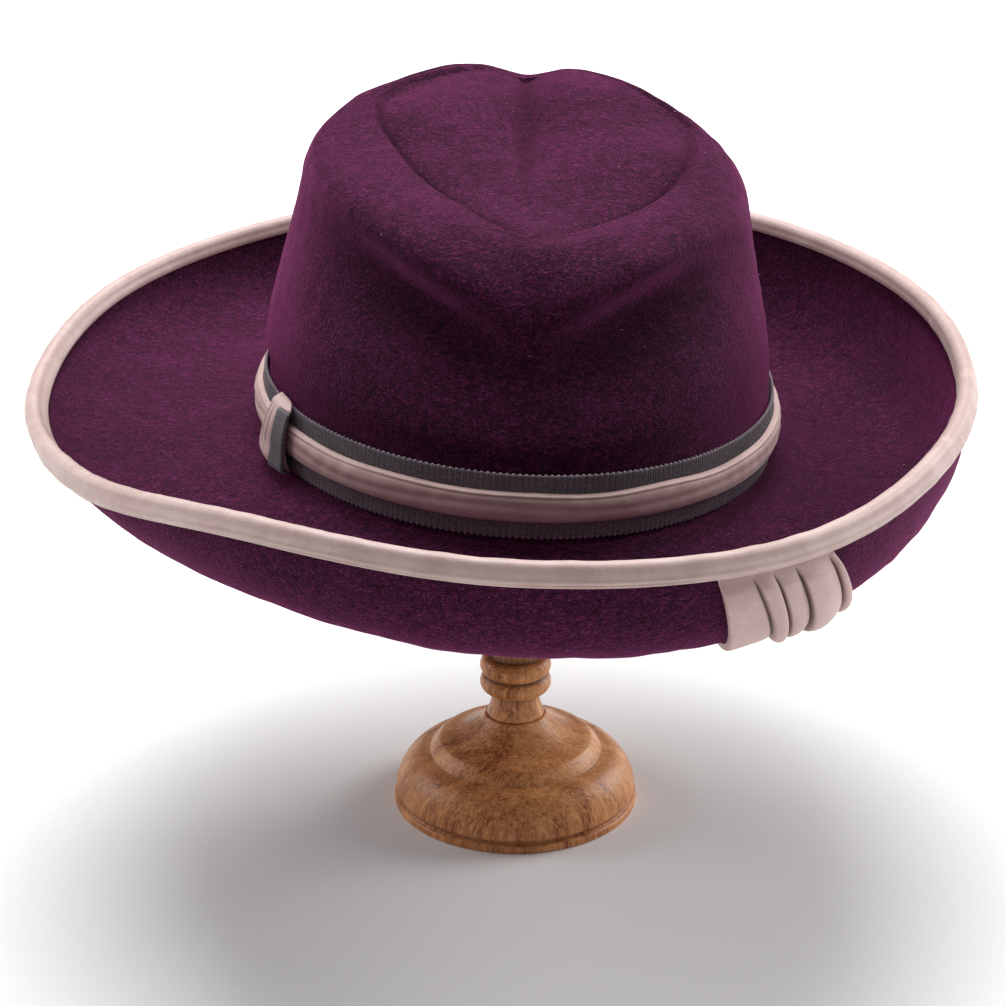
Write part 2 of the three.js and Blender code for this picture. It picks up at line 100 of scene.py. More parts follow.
# The curve through values set evenly once round, in degrees
def around(values, degrees):
    values = np.asarray(values, float)
    place = np.mod(degrees, 360) / (360 / len(values))
    row = np.floor(place).astype(int)
    return splined(place - row, *(values[(row + k) % len(values)] for k in (-1, 0, 1, 2)))


# The curve along a row of arrays, share 0 to 1, carried straight on past both ends
def through(values, share):
    knots = np.stack(np.broadcast_arrays(*values))
    knots = np.concatenate([2 * knots[:1] - knots[1:2], knots, 2 * knots[-1:] - knots[-2:-1]])
    last = len(values) - 1
    place = np.clip(share, 0, 1) * last
    row = np.minimum(np.floor(place).astype(int), last - 1)
    part = place - row
    row = np.broadcast_arrays(row, knots[0])[0][None]
    return splined(part, *(np.take_along_axis(knots, row + k, 0)[0] for k in range(4)))


# A hump that is 1 at its middle and falls off like a bell to both sides
def bell(value, middle, width):
    return np.exp(-(((value - middle) / width) ** 2))


def polar(degrees, radius, height):
    turn = np.radians(degrees)
    return np.stack(np.broadcast_arrays(radius * np.cos(turn), radius * np.sin(turn), height), -1)


# Soft unevenness in space: a sum of sine waves of 0.7 to 1.4 times a length, each along its own seeded direction
def ripple(points, length, seed, waves=9):
    draw = np.random.default_rng(seed)
    ways = draw.normal(size=(waves, 3))
    ways /= np.linalg.norm(ways, axis=1, keepdims=True)
    speed = 2 * math.pi / (length * draw.uniform(0.7, 1.4, waves))
    phase = draw.uniform(0, 2 * math.pi, waves)
    return np.sin(points @ (ways * speed[:, None]).T + phase).sum(-1) / math.sqrt(waves)


# The sum of ripples of several heights and lengths
def uneven(points, rows):
    return sum(row["high"] * ripple(points, row["long"], row["seed"]) for row in rows)


# Waves along a strip that run once round an exact number of times, 0.6 to 1.5 times turns, u from 0 to 1, slanting
# across it by v
def slant(u, v, turns, seed, waves=9, lean=2.0):
    draw = np.random.default_rng(seed)
    count = np.round(turns * draw.uniform(0.6, 1.5, waves))
    tilt = draw.uniform(-lean, lean, waves)
    phase = draw.uniform(0, 2 * math.pi, waves)
    u, v = np.broadcast_arrays(u, v)
    return np.sin(2 * math.pi * u[..., None] * count + v[..., None] * tilt + phase).sum(-1) / math.sqrt(waves)


# Row places along a sheet that crowd towards both edges, where the sheet rounds off
def crowded(count, length, edge):
    near = edge * np.array([0, 0.08, 0.25, 0.55, 1])
    inner = np.linspace(edge, length - edge, count)
    return np.concatenate([near[:-1], inner, (length - near[:-1])[::-1]])


thinnest = 0.12  # how thin a sheet gets at its edge: a share of its thickness here, millimetres below


# Thickness near an edge, as a share of the whole: a quarter circle over the edge's own width
def rounded(place, length, edge):
    inside = np.clip(np.minimum(place, length - place) / edge, 0, 1)
    return thinnest + (1 - thinnest) * np.sqrt(1 - (1 - inside) ** 2)


def inWorld(points, leant):
    flat = points.reshape(-1, 3)
    if leant:
        flat = flat @ np.array(hatTurn).T + [0, 0, hatSeat / mm]
    return flat * mm


# Corners of the quads of a grid of ids, rows by columns, the first step along u and the second along v
def gridCorners(ids):
    return np.stack([ids[:-1, :-1], ids[:-1, 1:], ids[1:, 1:], ids[1:, :-1]], -1).reshape(-1, 4)


# A mesh object from a grid of points for each face of a sheet. The outer face looks along u x v; the inner one's
# quads are turned round, and the free rims are joined by quads. closed joins the last column to the first, pole
# shrinks the last row to a point, whose repeated corners are dropped. The UV map is in metres along the sheet
def sheetObject(name, outer, inner, uv, material, closed=False, pole=False, values=None):
    rows, columns = outer.shape[:2]
    wide = columns + 1 if closed else columns
    ids = np.arange(rows * wide).reshape(rows, wide)
    solid = np.arange(rows * columns).reshape(rows, columns)
    solid = np.concatenate([solid, solid[:, :1]], 1) if closed else solid.copy()
    if pole:
        solid[-1] = solid[-1, 0]
    size = rows * wide
    parts = [gridCorners(ids), gridCorners(ids)[:, ::-1] + size]
    parts.append(np.stack([ids[0, :-1] + size, ids[0, 1:] + size, ids[0, 1:], ids[0, :-1]], -1))
    if not pole:
        parts.append(np.stack([ids[-1, :-1], ids[-1, 1:], ids[-1, 1:] + size, ids[-1, :-1] + size], -1))
    if not closed:
        parts.append(np.stack([ids[:-1, 0], ids[1:, 0], ids[1:, 0] + size, ids[:-1, 0] + size], -1))
        parts.append(np.stack([ids[:-1, -1] + size, ids[1:, -1] + size, ids[1:, -1], ids[:-1, -1]], -1))
    corners = np.concatenate(parts)
    vertexOf = np.concatenate([solid.ravel(), solid.ravel() + rows * columns])
    points = np.concatenate([inWorld(outer, True), inWorld(inner, True)])
    uvGrid = np.concatenate([uv.reshape(-1, 2)] * 2) * mm
    return meshObject(name, points, vertexOf[corners], uvGrid[corners], material, values)


# Puts points and quads into a new object. A corner that repeats the next one is dropped, so a quad at a pole becomes
# a triangle, and points that no face uses are left out. values is an attribute's name and its value at each point
def meshObject(name, points, faces, uvs, material, values=None):
    keep = faces != np.roll(faces, -1, axis=1)
    counts = keep.sum(1)
    loops = faces[keep]
    used, loops = np.unique(loops, return_inverse=True)
    data = bpy.data.meshes.new(name)
    data.vertices.add(len(used))
    data.vertices.foreach_set("co", points[used].astype(np.float32).ravel())
    if values is not None:
        attribute = data.attributes.new(values[0], "FLOAT", "POINT")
        attribute.data.foreach_set("value", values[1][used].astype(np.float32))
    data.loops.add(len(loops))
    data.loops.foreach_set("vertex_index", loops.astype(np.int32))
    data.polygons.add(len(counts))
    data.polygons.foreach_set("loop_start", (np.cumsum(counts) - counts).astype(np.int32))
    layer = data.uv_layers.new(name="cloth")
    layer.data.foreach_set("uv", uvs[keep].astype(np.float32).ravel())
    data.materials.append(material)
    data.update()
    data.validate()
    data.shade_smooth()
    made = bpy.data.objects.new(name, data)
    bpy.context.scene.collection.objects.link(made)
    print("made", name, "with", int((counts - 2).sum()), "triangles")
    return made


# The grid of (along, across) that goes with the rows and columns of a sheet, in millimetres
def strip(along, across):
    return np.stack(np.broadcast_arrays(along[None, :], across[:, None]), -1)


# The angles of so many columns once round
def allRound(columns):
    return np.linspace(0, 360, columns, endpoint=False)[None, :]


# The grid of a closed sheet, long millimetres once round
def hoop(long, columns, across):
    return strip(np.linspace(0, long, columns + 1), across)


def put(piece, slotName, *nodes):
    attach(piece, "root")
    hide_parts(*nodes)
    return piece


# Shader nodes: kind without its ShaderNode prefix, wires by socket name or number, settings by property name
def node(tree, kind, wires=None, **settings):
    made = tree.nodes.new("ShaderNode" + kind)
    for key, value in settings.items():
        setattr(made, key, value)
    for socket, value in (wires or {}).items():
        if isinstance(value, bpy.types.NodeSocket):
            tree.links.new(value, made.inputs[socket])
        else:
            made.inputs[socket].default_value = value
    return made


def material(name, shaderValues):
    made = bpy.data.materials.new(name)
    made.use_nodes = True
    shader = made.node_tree.nodes["Principled BSDF"]
    for socket, value in shaderValues.items():
        shader.inputs[socket].default_value = value
    return made, made.node_tree, shader


def mixed(tree, share, low, high):
    return node(tree, "Mix", {0: share, 6: low, 7: high}, data_type="RGBA").outputs[2]


def maths(tree, operation, a, b, clamp=False):
    return node(tree, "Math", {0: a, 1: b}, operation=operation, use_clamp=clamp).outputs[0]


# Noises times their weights, added up from start
def summed(tree, noises, weights, start=0.0):
    for key, weight in weights.items():
        start = node(tree, "Math", {0: noises[key], 1: weight, 2: start}, operation="MULTIPLY_ADD").outputs[0]
    return start


# Reads a value between two limits as 0 to 1
def between(tree, value, low, high):
    wires = {"Value": value, "From Min": low, "From Max": high}
    return node(tree, "MapRange", wires, interpolation_type="SMOOTHSTEP").outputs[0]


# Noise whose blotches are size millimetres across, stretched to other lengths along X, Y and Z
def noise(tree, place, size, stretch=(1, 1, 1), detail=2.0, warp=0.0):
    scale = [1 / (size * mm * s) for s in stretch]
    spread = node(tree, "Mapping", {"Vector": place, "Scale": scale}).outputs[0]
    wires = {"Vector": spread, "Scale": 1.0, "Detail": detail, "Distortion": warp}
    return node(tree, "TexNoise", wires).outputs["Fac"]


def linear(red, green, blue):
    turned = [((c / 255 + 0.055) / 1.055) ** 2.4 if c > 10 else c / 255 / 12.92 for c in (red, green, blue)]
    return (*turned, 1)


# Specks of lint: small round cells far apart, of which some are left out
lint = {
    "apart": 7,  # millimetres
    "size": 0.03,  # share of that
    "missing": 0.55,  # share of the places without a speck
    "pale": 0.7,
}


def linted(tree, place, colour, tone):
    cells = node(tree, "TexVoronoi", {"Vector": place, "Scale": 1 / (lint["apart"] * mm), "Randomness": 1.0})
    near = maths(tree, "LESS_THAN", cells.outputs["Distance"], lint["size"])
    drawn = node(tree, "SeparateColor", {0: cells.outputs["Color"]}).outputs[0]
    speck = maths(tree, "MULTIPLY", near, maths(tree, "GREATER_THAN", drawn, lint["missing"]))
    return mixed(tree, maths(tree, "MULTIPLY", speck, lint["pale"]), colour, tone)


# A material made as its dictionary says. Noises lie in the piece, threads along its cloth. The base tone turns to the
# steps' tones where the tone sum, noises times weights, passes their limits. Each layer lays a tone over them where
# its noise lies between its limits, at most as thickly as its share. The mesh's own attribute brings in the marked
# tone, times the marking sum, and the bump follows the relief sum, its depth in millimetres
def makeMaterial(name, look, tones):
    made, tree, shader = material(name, look["shader"])
    tones = {key: linear(*tone) for key, tone in tones.items()}
    places = node(tree, "TexCoord").outputs
    noises = {
        key: noise(tree, places["UV" if key == "threads" else "Object"], **row) for key, row in look["noises"].items()
    }
    tone = summed(tree, noises, look["tone"])
    colour = tones["base"]
    for key, limits in look["steps"].items():
        colour = mixed(tree, between(tree, tone, *limits), colour, tones[key])
    for row in look["layers"]:
        share = maths(tree, "MULTIPLY", between(tree, noises[row["noise"]], *row["limits"]), row["share"])
        colour = mixed(tree, share, colour, tones[row["tone"]])
    mark = node(tree, "Attribute", attribute_name=look["attribute"], attribute_type="GEOMETRY").outputs["Fac"]
    if "marking" in look:
        mark = maths(tree, "MULTIPLY", mark, summed(tree, noises, look["marking"], look["marked"]), clamp=True)
    colour = mixed(tree, mark, colour, tones["marked"])
    if "lint" in tones:
        colour = linted(tree, places["Object"], colour, tones["lint"])
    tree.links.new(colour, shader.inputs["Base Color"])
    if "rougher" in look:
        tree.links.new(summed(tree, noises, look["rougher"], look["rough"]), shader.inputs["Roughness"])
    wires = {"Height": summed(tree, noises, look["relief"]), "Strength": look["bump"], "Distance": look["depth"] * mm}
    tree.links.new(node(tree, "Bump", wires).outputs[0], shader.inputs["Normal"])
    return made


# Felt: a brushed plum nap. Grains of nap lie every way, clumps and broad patches mottle them, thin pale hairs and a
# few specks of lint stand out, and a velvet sheen lights it where it is seen edge on. The pressed attribute is painted
# shade, which darkens the felt in the creases, the valley's fold and the pinches
felt = {
    "shader": {
        "Roughness": 0.92,
        "Specular IOR Level": 0.12,
        "Sheen Weight": 0.95,
        "Sheen Roughness": 0.25,
        "Sheen Tint": linear(205, 88, 160),
    },
    "noises": {
        "grains": {"size": 0.8, "stretch": (1.5, 1, 1.1), "detail": 3, "warp": 1.1},
        "clumps": {"size": 2.4, "stretch": (1.5, 1, 1), "warp": 0.6},
        "patches": {"size": 26, "stretch": (1.5, 1, 1)},
        "hairs": {"size": 0.4, "stretch": (3.2, 1.2, 1), "detail": 1, "warp": 1.8},
    },
    "tone": {"grains": 0.6, "clumps": 0.22, "patches": 0.1},
    "steps": {"middle": (0.32, 0.48), "bright": (0.45, 0.6)},
    "layers": [{"noise": "hairs", "limits": (0.58, 0.74), "share": 0.4, "tone": "hair"}],
    "attribute": "pressed",
    "relief": {"grains": 1, "clumps": 0.6, "hairs": 0.5},
    "bump": 0.85, "depth": 0.5,
}
# marked is the tone of the painted shade in the creases, the fold and the pinches
plumTones = {
    "base": (30, 6, 22), "middle": (52, 11, 39), "bright": (92, 28, 70), "hair": (156, 86, 130),
    "marked": (30, 5, 22), "lint": (215, 170, 190),
}

# Satin: pale dusty rose, a little mottled and soiled, with a fine twill seen only as a slight grain along the strip;
# the strip on the edge is bleached paler. Its mesh attribute is painted shade, which darkens the bottoms of the
# pleats' creases and the groove of the binding's seam
satin = {
    "shader": {
        "Specular IOR Level": 0.4,
        "Sheen Weight": 0.35,
        "Sheen Roughness": 0.35,
        "Sheen Tint": linear(255, 238, 230),
        "Anisotropic": 0.5,
    },
    "noises": {
        "soft": {"size": 14, "detail": 3, "warp": 0.4},
        "small": {"size": 3.2, "detail": 3, "warp": 0.3},
        "threads": {"size": 0.22, "stretch": (14, 1, 1)},
    },
    "tone": {"soft": 0.65, "small": 0.35},
    "steps": {"pale": (0.4, 0.62)},
    "layers": [
        {"noise": "small", "limits": (0.6, 0.75), "share": 0.35, "tone": "soil"},
        {"noise": "threads", "limits": (0.35, 0.75), "share": 0.16, "tone": "soil"},
    ],
    "attribute": "paintedCreaseShade",
    "rough": 0.38,
    "rougher": {"small": 0.2},
    "relief": {"threads": 0.5, "small": 1},
    "bump": 0.3, "depth": 0.25,
}
# In both, marked is the tone of the painted shade in the creases and in the binding's seam groove
dustyTones = {"base": (194, 163, 159), "pale": (206, 176, 172), "soil": (166, 134, 131), "marked": (84, 62, 60)}
paleTones = {"base": (189, 162, 157), "pale": (201, 176, 171), "soil": (164, 136, 131), "marked": (134, 108, 102)}

# Grosgrain: charcoal ribbon. Its ribs are in the mesh; here is the fine thread over them and a little dust. Its mesh
# attribute is a painted highlight on the loops of thread along its edges
grosgrain = {
    "shader": {
        "Roughness": 0.72,
        "Specular IOR Level": 0.3,
        "Sheen Weight": 0.25,
        "Sheen Roughness": 0.4,
        "Sheen Tint": linear(220, 215, 220),
    },
    "noises": {
        "threads": {"size": 0.2, "stretch": (1.2, 5, 1)},
        "patches": {"size": 9, "detail": 3},
        "specks": {"size": 0.8},
    },
    "tone": {"threads": 1},
    "steps": {"light": (0.35, 0.68)},
    "layers": [
        {"noise": "patches", "limits": (0.35, 0.75), "share": 0.4, "tone": "base"},
        {"noise": "specks", "limits": (0.64, 0.76), "share": 0.25, "tone": "dust"},
    ],
    "attribute": "picotHighlight",
    "relief": {"threads": 1},
    "bump": 0.4, "depth": 0.2,
}
# marked is the painted highlight on the picot loops
charcoalTones = {"base": (78, 73, 78), "light": (128, 121, 126), "dust": (165, 155, 158), "marked": (176, 160, 170)}

# Wood: waxed honey-brown, its grain upright. The groove attribute marks the turned grooves, where the colour is darker
wood = {
    "shader": {"Specular IOR Level": 0.35, "Coat Weight": 0.1, "Coat Roughness": 0.25},
    "noises": {
        "grain": {"size": 1.6, "stretch": (1, 0.5, 16), "detail": 4, "warp": 1.2},
        "pores": {"size": 0.35, "stretch": (1, 1, 22), "detail": 1},
        "broad": {"size": 16, "stretch": (1, 0.6, 3), "warp": 0.8},
    },
    "tone": {"grain": 0.6, "broad": 0.45},
    "steps": {"middle": (0.36, 0.54), "light": (0.5, 0.68)},
    "layers": [{"noise": "pores", "limits": (0.62, 0.72), "share": 0.5, "tone": "base"}],
    "attribute": "groove",
    "marked": 0.55,
    "marking": {"broad": 0.5},
    "rough": 0.34,
    "rougher": {"grain": 0.2},
    "relief": {"grain": 1, "pores": 1},
    "bump": 0.18, "depth": 0.3,
}
waxedTones = {"base": (130, 70, 38), "middle": (204, 134, 80), "light": (234, 170, 112), "marked": (52, 24, 14)}

plumFelt = makeMaterial("plum felt", felt, plumTones)
dustySatin = makeMaterial("dusty rose satin", satin, dustyTones)
paleSatin = makeMaterial("pale satin", satin, paleTones)
charcoalRibbon = makeMaterial("charcoal grosgrain", grosgrain, charcoalTones)
waxedWood = makeMaterial("waxed wood", wood, waxedTones)
print("materials made")


# What the hat's pieces share, in millimetres
hatSize = {
    "halfWidth": 82,  # of the head opening, inside
    "halfLength": 99, "felt": 2.2, "gap": 0.3,
    "seam": 9,  # where crown and brim meet, under the ribbon
}
feltWall = hatSize["felt"]
gap = hatSize["gap"]


# Radius of the head oval grown by a width: an ellipse met by a ray at that angle
def oval(degrees, grow):
    across, along = hatSize["halfWidth"] + grow, hatSize["halfLength"] + grow
    turn = np.radians(degrees)
    return across * along / np.hypot(along * np.cos(turn), across * np.sin(turn))


# Crown: shares every 30 degrees of the base's radius for out, of height for up, of creaseDepth for crease and of
# wallSwell for swell
crown = {
    "height": 108,
    "shoulderOut": [0.835, 0.738, 0.64, 0.71, 0.7, 0.81, 0.875, 0.865, 0.84, 0.82, 0.84, 0.85],
    "shoulderUp": [0.83, 0.912, 0.97, 0.97, 0.985, 0.92, 0.87, 0.825, 0.755, 0.665, 0.74, 0.79],
    "crestOut": [0.635, 0.665, 0.58, 0.6, 0.63, 0.7, 0.565, 0.51, 0.505, 0.58, 0.545, 0.58],
    "crestUp": [0.915, 0.94, 1.015, 1.03, 0.995, 0.96, 0.905, 0.875, 0.84, 0.81, 0.825, 0.86],
    "crease": [0.8, 0.12, 0, 0, 0.04, 0.6, 1, 1, 1, 1, 1, 1],
    "swell": [0, 0, 0, 0, 0.25, 0.75, 1.1, 1.1, 0.7, 0.3, 0, 0],
    "wallSwell": 2.2,  # how far the wall swells out over the ribbon at most
    "swellAt": (0.21, 0.3, 0.3, 0.9),  # window of shares of the height
    "creaseDepth": 1.8, "creaseWidth": 3,
    "creaseSharp": 1.1,  # millimetres over which the bottom of the crease is pressed in
    "creasePress": 1.2,
    "tipOut": 8,  # how far the crest runs out to a point at the front
    "tipSpread": 9,  # degrees
    "pillowTop": 99.5, "pillowSlope": 0.2, "pillowReach": 0.75, "valleyDepth": 5,
    "valleyWidth": 11, "valleyAside": -2.7,
    "valleyBack": (-0.6, 0.35),  # shares of half the length, from the middle to the back
    "valleyHigh": (0.8, 0.93),  # shares of the height
    "foldDepth": 1.6,  # of the sharp fold along the valley's bottom
    # How strongly the valley's fold is painted in shade, and how wide the painted shade along the crease is
    "foldWidth": 2.6, "foldBack": (-0.5, -0.1), "foldShade": 0.7, "shadeWidth": 1.5,
    # How dark the painted shade is at its darkest
    "paintedShade": 0.36,  # how dark the nap is at the bottom of a crease, a fold or a pinch
    "turnIn": (0.25, 1),  # ways over which the inner face turns from beside the outer one to below it
    "dents": [{"high": 0.22, "long": 34, "seed": 3}, {"high": 0.1, "long": 9, "seed": 4}],
    "dentsAt": (0.1, 0.3, 1.9, 2),  # window of ways
    "long": 570,  # length of its UV map round the foot, and below up the wall and over the top
    "upWall": 100, "overTop": 70, "columns": 300, "wallRows": 87, "topRows": 73,
    "crowding": 1.5,  # power by which the top's rows crowd at the crest
}

# The wall's line from seam to crest. Each place mixes the radii of base, shoulder and crest, and the heights of seam,
# shoulder and crest; rise adds a share of the crown's height. What a row leaves out is 0
wallPlaces = [
    {"base": 1, "seamUp": 1},
    {"base": 0.974, "seamUp": 0.64, "shoulderUp": 0.36},
    {"base": 0.378, "shoulder": 0.617, "seamUp": 0.28, "shoulderUp": 0.72},
    {"shoulder": 1, "shoulderUp": 1},
    {"shoulder": 0.45, "crest": 0.55, "shoulderUp": 0.35, "crestUp": 0.65, "rise": 0.018},
    {"crest": 1, "crestUp": 1},
]

# The two pinches beside the front, which push the wall in: shares of the crown's height for low and climb
pinches = {
    "depth": 11,
    "tall": 11,  # millimetres over which it fades upwards, and below those downwards
    "deep": 17,
    "apart": 26,  # degrees from the front to the deepest place
    "meet": 0.5,  # share of the depth where both meet at the front
    "meetSpread": 14, "low": 0.455, "climb": 0.44, "climbSpread": 60,
    "ends": (70, 110),  # degrees from the front over which it fades out
}


def fromFront(degrees):
    return np.abs(np.mod(degrees + 270, 360) - 180)


# A trough whose depth over the angle goes as the square of x exp(1 - x), with a bell added where both meet; it starts
# low at the front and climbs to both sides
def pinch(degrees, height):
    aside = fromFront(degrees)
    share = aside / pinches["apart"] * np.exp(1 - aside / pinches["apart"])
    depth = pinches["depth"] * (share**2 + pinches["meet"] * bell(aside, 0, pinches["meetSpread"]))
    trough = crown["height"] * (pinches["low"] + pinches["climb"] * (1 - np.exp(-aside / pinches["climbSpread"])))
    near = 1 - smooth(*pinches["ends"], aside)
    return depth * near * bell(height, trough, np.where(height > trough, pinches["tall"], pinches["deep"]))


# The crown's outer face. way 0 to 1 climbs the wall from the seam to the crest by splines of radius and height,
# 1 to 2 crosses the top to its middle: a sloping plane, less a crease just inside the crest that goes as
# x exp(1 - x) and is pressed in at its bottom, less a bell-shaped valley that deepens towards the back, with a narrow
# fold along its bottom. The third value is painted shade: how dark the crease, the fold and the pinches are painted
def crownPoint(degrees, way):
    base = oval(degrees, feltWall)
    tall = crown["height"]
    tip = crown["tipOut"] * np.exp(-fromFront(degrees) / crown["tipSpread"])
    mixture = {
        "base": base,
        "shoulder": around(crown["shoulderOut"], degrees) * base,
        "crest": around(crown["crestOut"], degrees) * base + tip,
        "seamUp": hatSize["seam"] + 0 * base,
        "shoulderUp": around(crown["shoulderUp"], degrees) * tall,
        "crestUp": around(crown["crestUp"], degrees) * tall,
        "rise": tall,
    }
    outs, ups = (
        [sum(place.get(key, 0) * mixture[key] for key in keys) for place in wallPlaces]
        for keys in (("base", "shoulder", "crest"), ("seamUp", "shoulderUp", "crestUp", "rise"))
    )
    wall = np.minimum(way, 1)
    height = through(ups, wall)
    swell = window(crown["swellAt"], height / tall)
    radius = through(outs, wall) - pinch(degrees, height)
    radius = radius + crown["wallSwell"] * around(crown["swell"], degrees) * swell
    crest, crestUp = mixture["crest"], mixture["crestUp"]
    over = np.maximum(way - 1, 0)
    inward = over * crest
    radius = radius * (1 - over)
    pillow = crown["pillowTop"] + crown["pillowSlope"] * radius * np.sin(np.radians(degrees))
    x = inward / crown["creaseWidth"]
    pressed = crown["creasePress"] * np.exp(-np.abs(inward - crown["creaseWidth"]) / crown["creaseSharp"])
    depth = around(crown["crease"], degrees) * (crown["creaseDepth"] * x * np.exp(1 - x) + pressed)
    top = crestUp + (pillow - crestUp) * smooth(0, crown["pillowReach"] * crest, inward) - depth
    height = np.where(way > 1, top, height)
    aside = radius * np.cos(np.radians(degrees)) - crown["valleyAside"]
    back = radius * np.sin(np.radians(degrees)) / hatSize["halfLength"]
    behind = smooth(*crown["valleyBack"], back) * smooth(*crown["valleyHigh"], height / tall)
    fold = np.where(way > 1, smooth(*crown["foldBack"], back) * bell(aside, 0, crown["foldWidth"]), 0)
    height = height - crown["valleyDepth"] * behind * bell(aside, 0, crown["valleyWidth"]) - crown["foldDepth"] * fold
    # Painted shade: the felt is darkened along the crease's bottom, the valley's fold and the pinches
    inCrease = around(crown["crease"], degrees) * bell(inward, crown["creaseWidth"], crown["shadeWidth"])
    paintedShade = np.where(way > 1, inCrease, 0) + crown["foldShade"] * fold + pinch(degrees, height) / pinches["depth"]
    return radius, height, crown["paintedShade"] * np.clip(paintedShade, 0, 1)


def makeCrown():
    degrees = allRound(crown["columns"])
    wallWays = np.linspace(0, 1, crown["wallRows"], endpoint=False)
    topWays = 1 + np.linspace(0, 1, crown["topRows"]) ** crown["crowding"]
    way = np.concatenate([wallWays, topWays])[:, None]
    radius, height, paintedShade = crownPoint(degrees, way)
    outer = polar(degrees, radius, height)
    swing = math.pi / 2 * smooth(*crown["turnIn"], way)
    shrink = np.cos(swing) * np.minimum(1, 2 - way)
    inner = polar(degrees, radius - feltWall * shrink, height - feltWall * np.sin(swing))
    seen = window(crown["dentsAt"], way)
    normal = (outer - inner) / np.linalg.norm(outer - inner, axis=-1, keepdims=True)
    outer = outer + normal * (uneven(outer, crown["dents"]) * seen)[..., None]
    across = np.concatenate([wallWays * crown["upWall"], crown["upWall"] + (topWays - 1) * crown["overTop"]])
    # The pressed attribute carries this painted shade on the outer face only
    pressed = ("pressed", np.concatenate([paintedShade.ravel(), 0 * paintedShade.ravel()]))
    uv = hoop(crown["long"], crown["columns"], across)
    piece = sheetObject("crown_felt", outer, inner, uv, plumFelt, closed=True, pole=True, values=pressed)
    return put(piece, "felt", "crown")


makeCrown()


# Brim: shares every 30 degrees of reach, lift and droop, and of the reach for roll, by which it swells past its edge
brim = {
    "reachOf": 74, "liftOf": 30, "droopOf": 14,
    "reach": [0.905, 0.975, 1.01, 1.03, 1.09, 1.12, 1.09, 1.0, 0.955, 0.957, 0.935, 0.886],
    "lift": [1.01, 1.15, 1.2, 1.12, 0.76, 0.46, 0.09, 0.19, 0.61, 0.64, 0.66, 0.86],
    "droop": [0.88, 0.83, 0.78, 0.68, 0.58, 0.48, 0.48, 0.88, 1.38, 1.63, 1.5, 1.02],
    "roll": [0.05, 0.02, 0, 0, -0.05, -0.1, -0.14, -0.05, 0.06, 0.1, 0.12, 0.1],
    "breakRadius": 3.5, "breakLevel": -1.5,
    "lip": 5.4,  # how deep the edge sits in its binding, and below the share of it at each angle
    "hem": [0.95, 0.75, 0.65, 0.62, 0.7, 0.85, 1, 1, 1, 1, 1, 1],
    "controlOut": 0.42,  # the curve's second corner, a share of the reach out, and below it shares of the droop down
    "controlDown": 0.75,
    "rimDown": 1.15,  # and the third corner's
    "underDents": [{"high": 0.25, "long": 30, "seed": 11}, {"high": 0.08, "long": 8, "seed": 12}],
    "upperDents": [{"high": 0.25, "long": 36, "seed": 13}, {"high": 0.08, "long": 8, "seed": 14}],
    "dentsAt": (0.03, 0.12, 0.9, 0.99),  # window of ways
    "long": 800,  # length of its UV map, and below its width
    "wide": 90, "columns": 420, "bendRows": 9, "rows": 76, "samples": 80,
}


# Bezier curve of four corners, and the direction it runs in
def bezier(corners, t):
    t = t[..., None]
    a, b, c, d = corners
    point = (1 - t) ** 3 * a + 3 * (1 - t) ** 2 * t * b + 3 * (1 - t) * t**2 * c + t**3 * d
    run = 3 * (1 - t) ** 2 * (b - a) + 6 * (1 - t) * t * (c - b) + 3 * t**2 * (d - c)
    return point, run / np.linalg.norm(run, axis=-1, keepdims=True)


# The brim's middle at angles in a row and ways in a column: way -1 to -0.5 is the collar, to 0 the bend, a quarter
# circle, to 1 the brim as far as its binding's lip and to 2 on to the edge, both by even lengths along a Bezier curve
# that dips by the droop and turns up to the lift
def brimMiddle(degrees, way):
    wall = oval(degrees, feltWall / 2)
    reach = around(brim["reach"], degrees) * brim["reachOf"]
    lift = around(brim["lift"], degrees) * brim["liftOf"]
    droop = around(brim["droop"], degrees) * brim["droopOf"]
    swell = around(brim["roll"], degrees) * reach
    bend, level = brim["breakRadius"], brim["breakLevel"]
    corners = [
        np.stack(np.broadcast_arrays(x, y), -1)
        for x, y in (
            (wall + bend, level),
            (wall + brim["controlOut"] * reach, level - brim["controlDown"] * droop),
            (wall + reach + swell, level - brim["rimDown"] * droop),
            (wall + reach - feltWall / 2, lift),
        )
    ]
    t = np.linspace(0, 1, brim["samples"])[:, None] + 0 * degrees
    trace, _ = bezier(corners, t)
    spans = np.linalg.norm(np.diff(trace, axis=0), axis=-1)
    gone = np.concatenate([0 * spans[:1], np.cumsum(spans, 0)])
    length = gone[-1]
    lip = 1 - brim["lip"] * around(brim["hem"], degrees) / length
    share = np.where(way < 1, way * lip, lip + (way - 1) * (1 - lip))
    share = np.clip(share, 0, 1) + 0 * degrees
    offset = 2 * np.arange(degrees.size)[None, :]  # keeps the columns apart in one long table
    found = np.interp((share + offset).ravel(), (gone / length + offset).T.ravel(), t.T.ravel())
    middle, run = bezier(corners, found.reshape(share.shape))
    turn = math.pi / 2 * np.clip(1 + way / 0.5, 0, 1) + 0 * degrees
    bent = np.stack([wall + bend * (1 - np.cos(turn)), level + bend - bend * np.sin(turn)], -1)
    bentRun = np.stack([np.sin(turn), -np.cos(turn)], -1)
    rise = np.clip((-0.5 - way) / 0.5, 0, 1) * (hatSize["seam"] - gap - level - bend)
    bent[..., 1] += rise
    inBend = np.broadcast_to((way <= 0)[..., None], middle.shape)
    return np.where(inBend, bent, middle), np.where(inBend, bentRun, run)


# Points beside the brim's middle, at a height over it
def besideBrim(degrees, way, above):
    middle, run = brimMiddle(degrees, way)
    return polar(degrees, middle[..., 0] - above * run[..., 1], middle[..., 1] + above * run[..., 0])


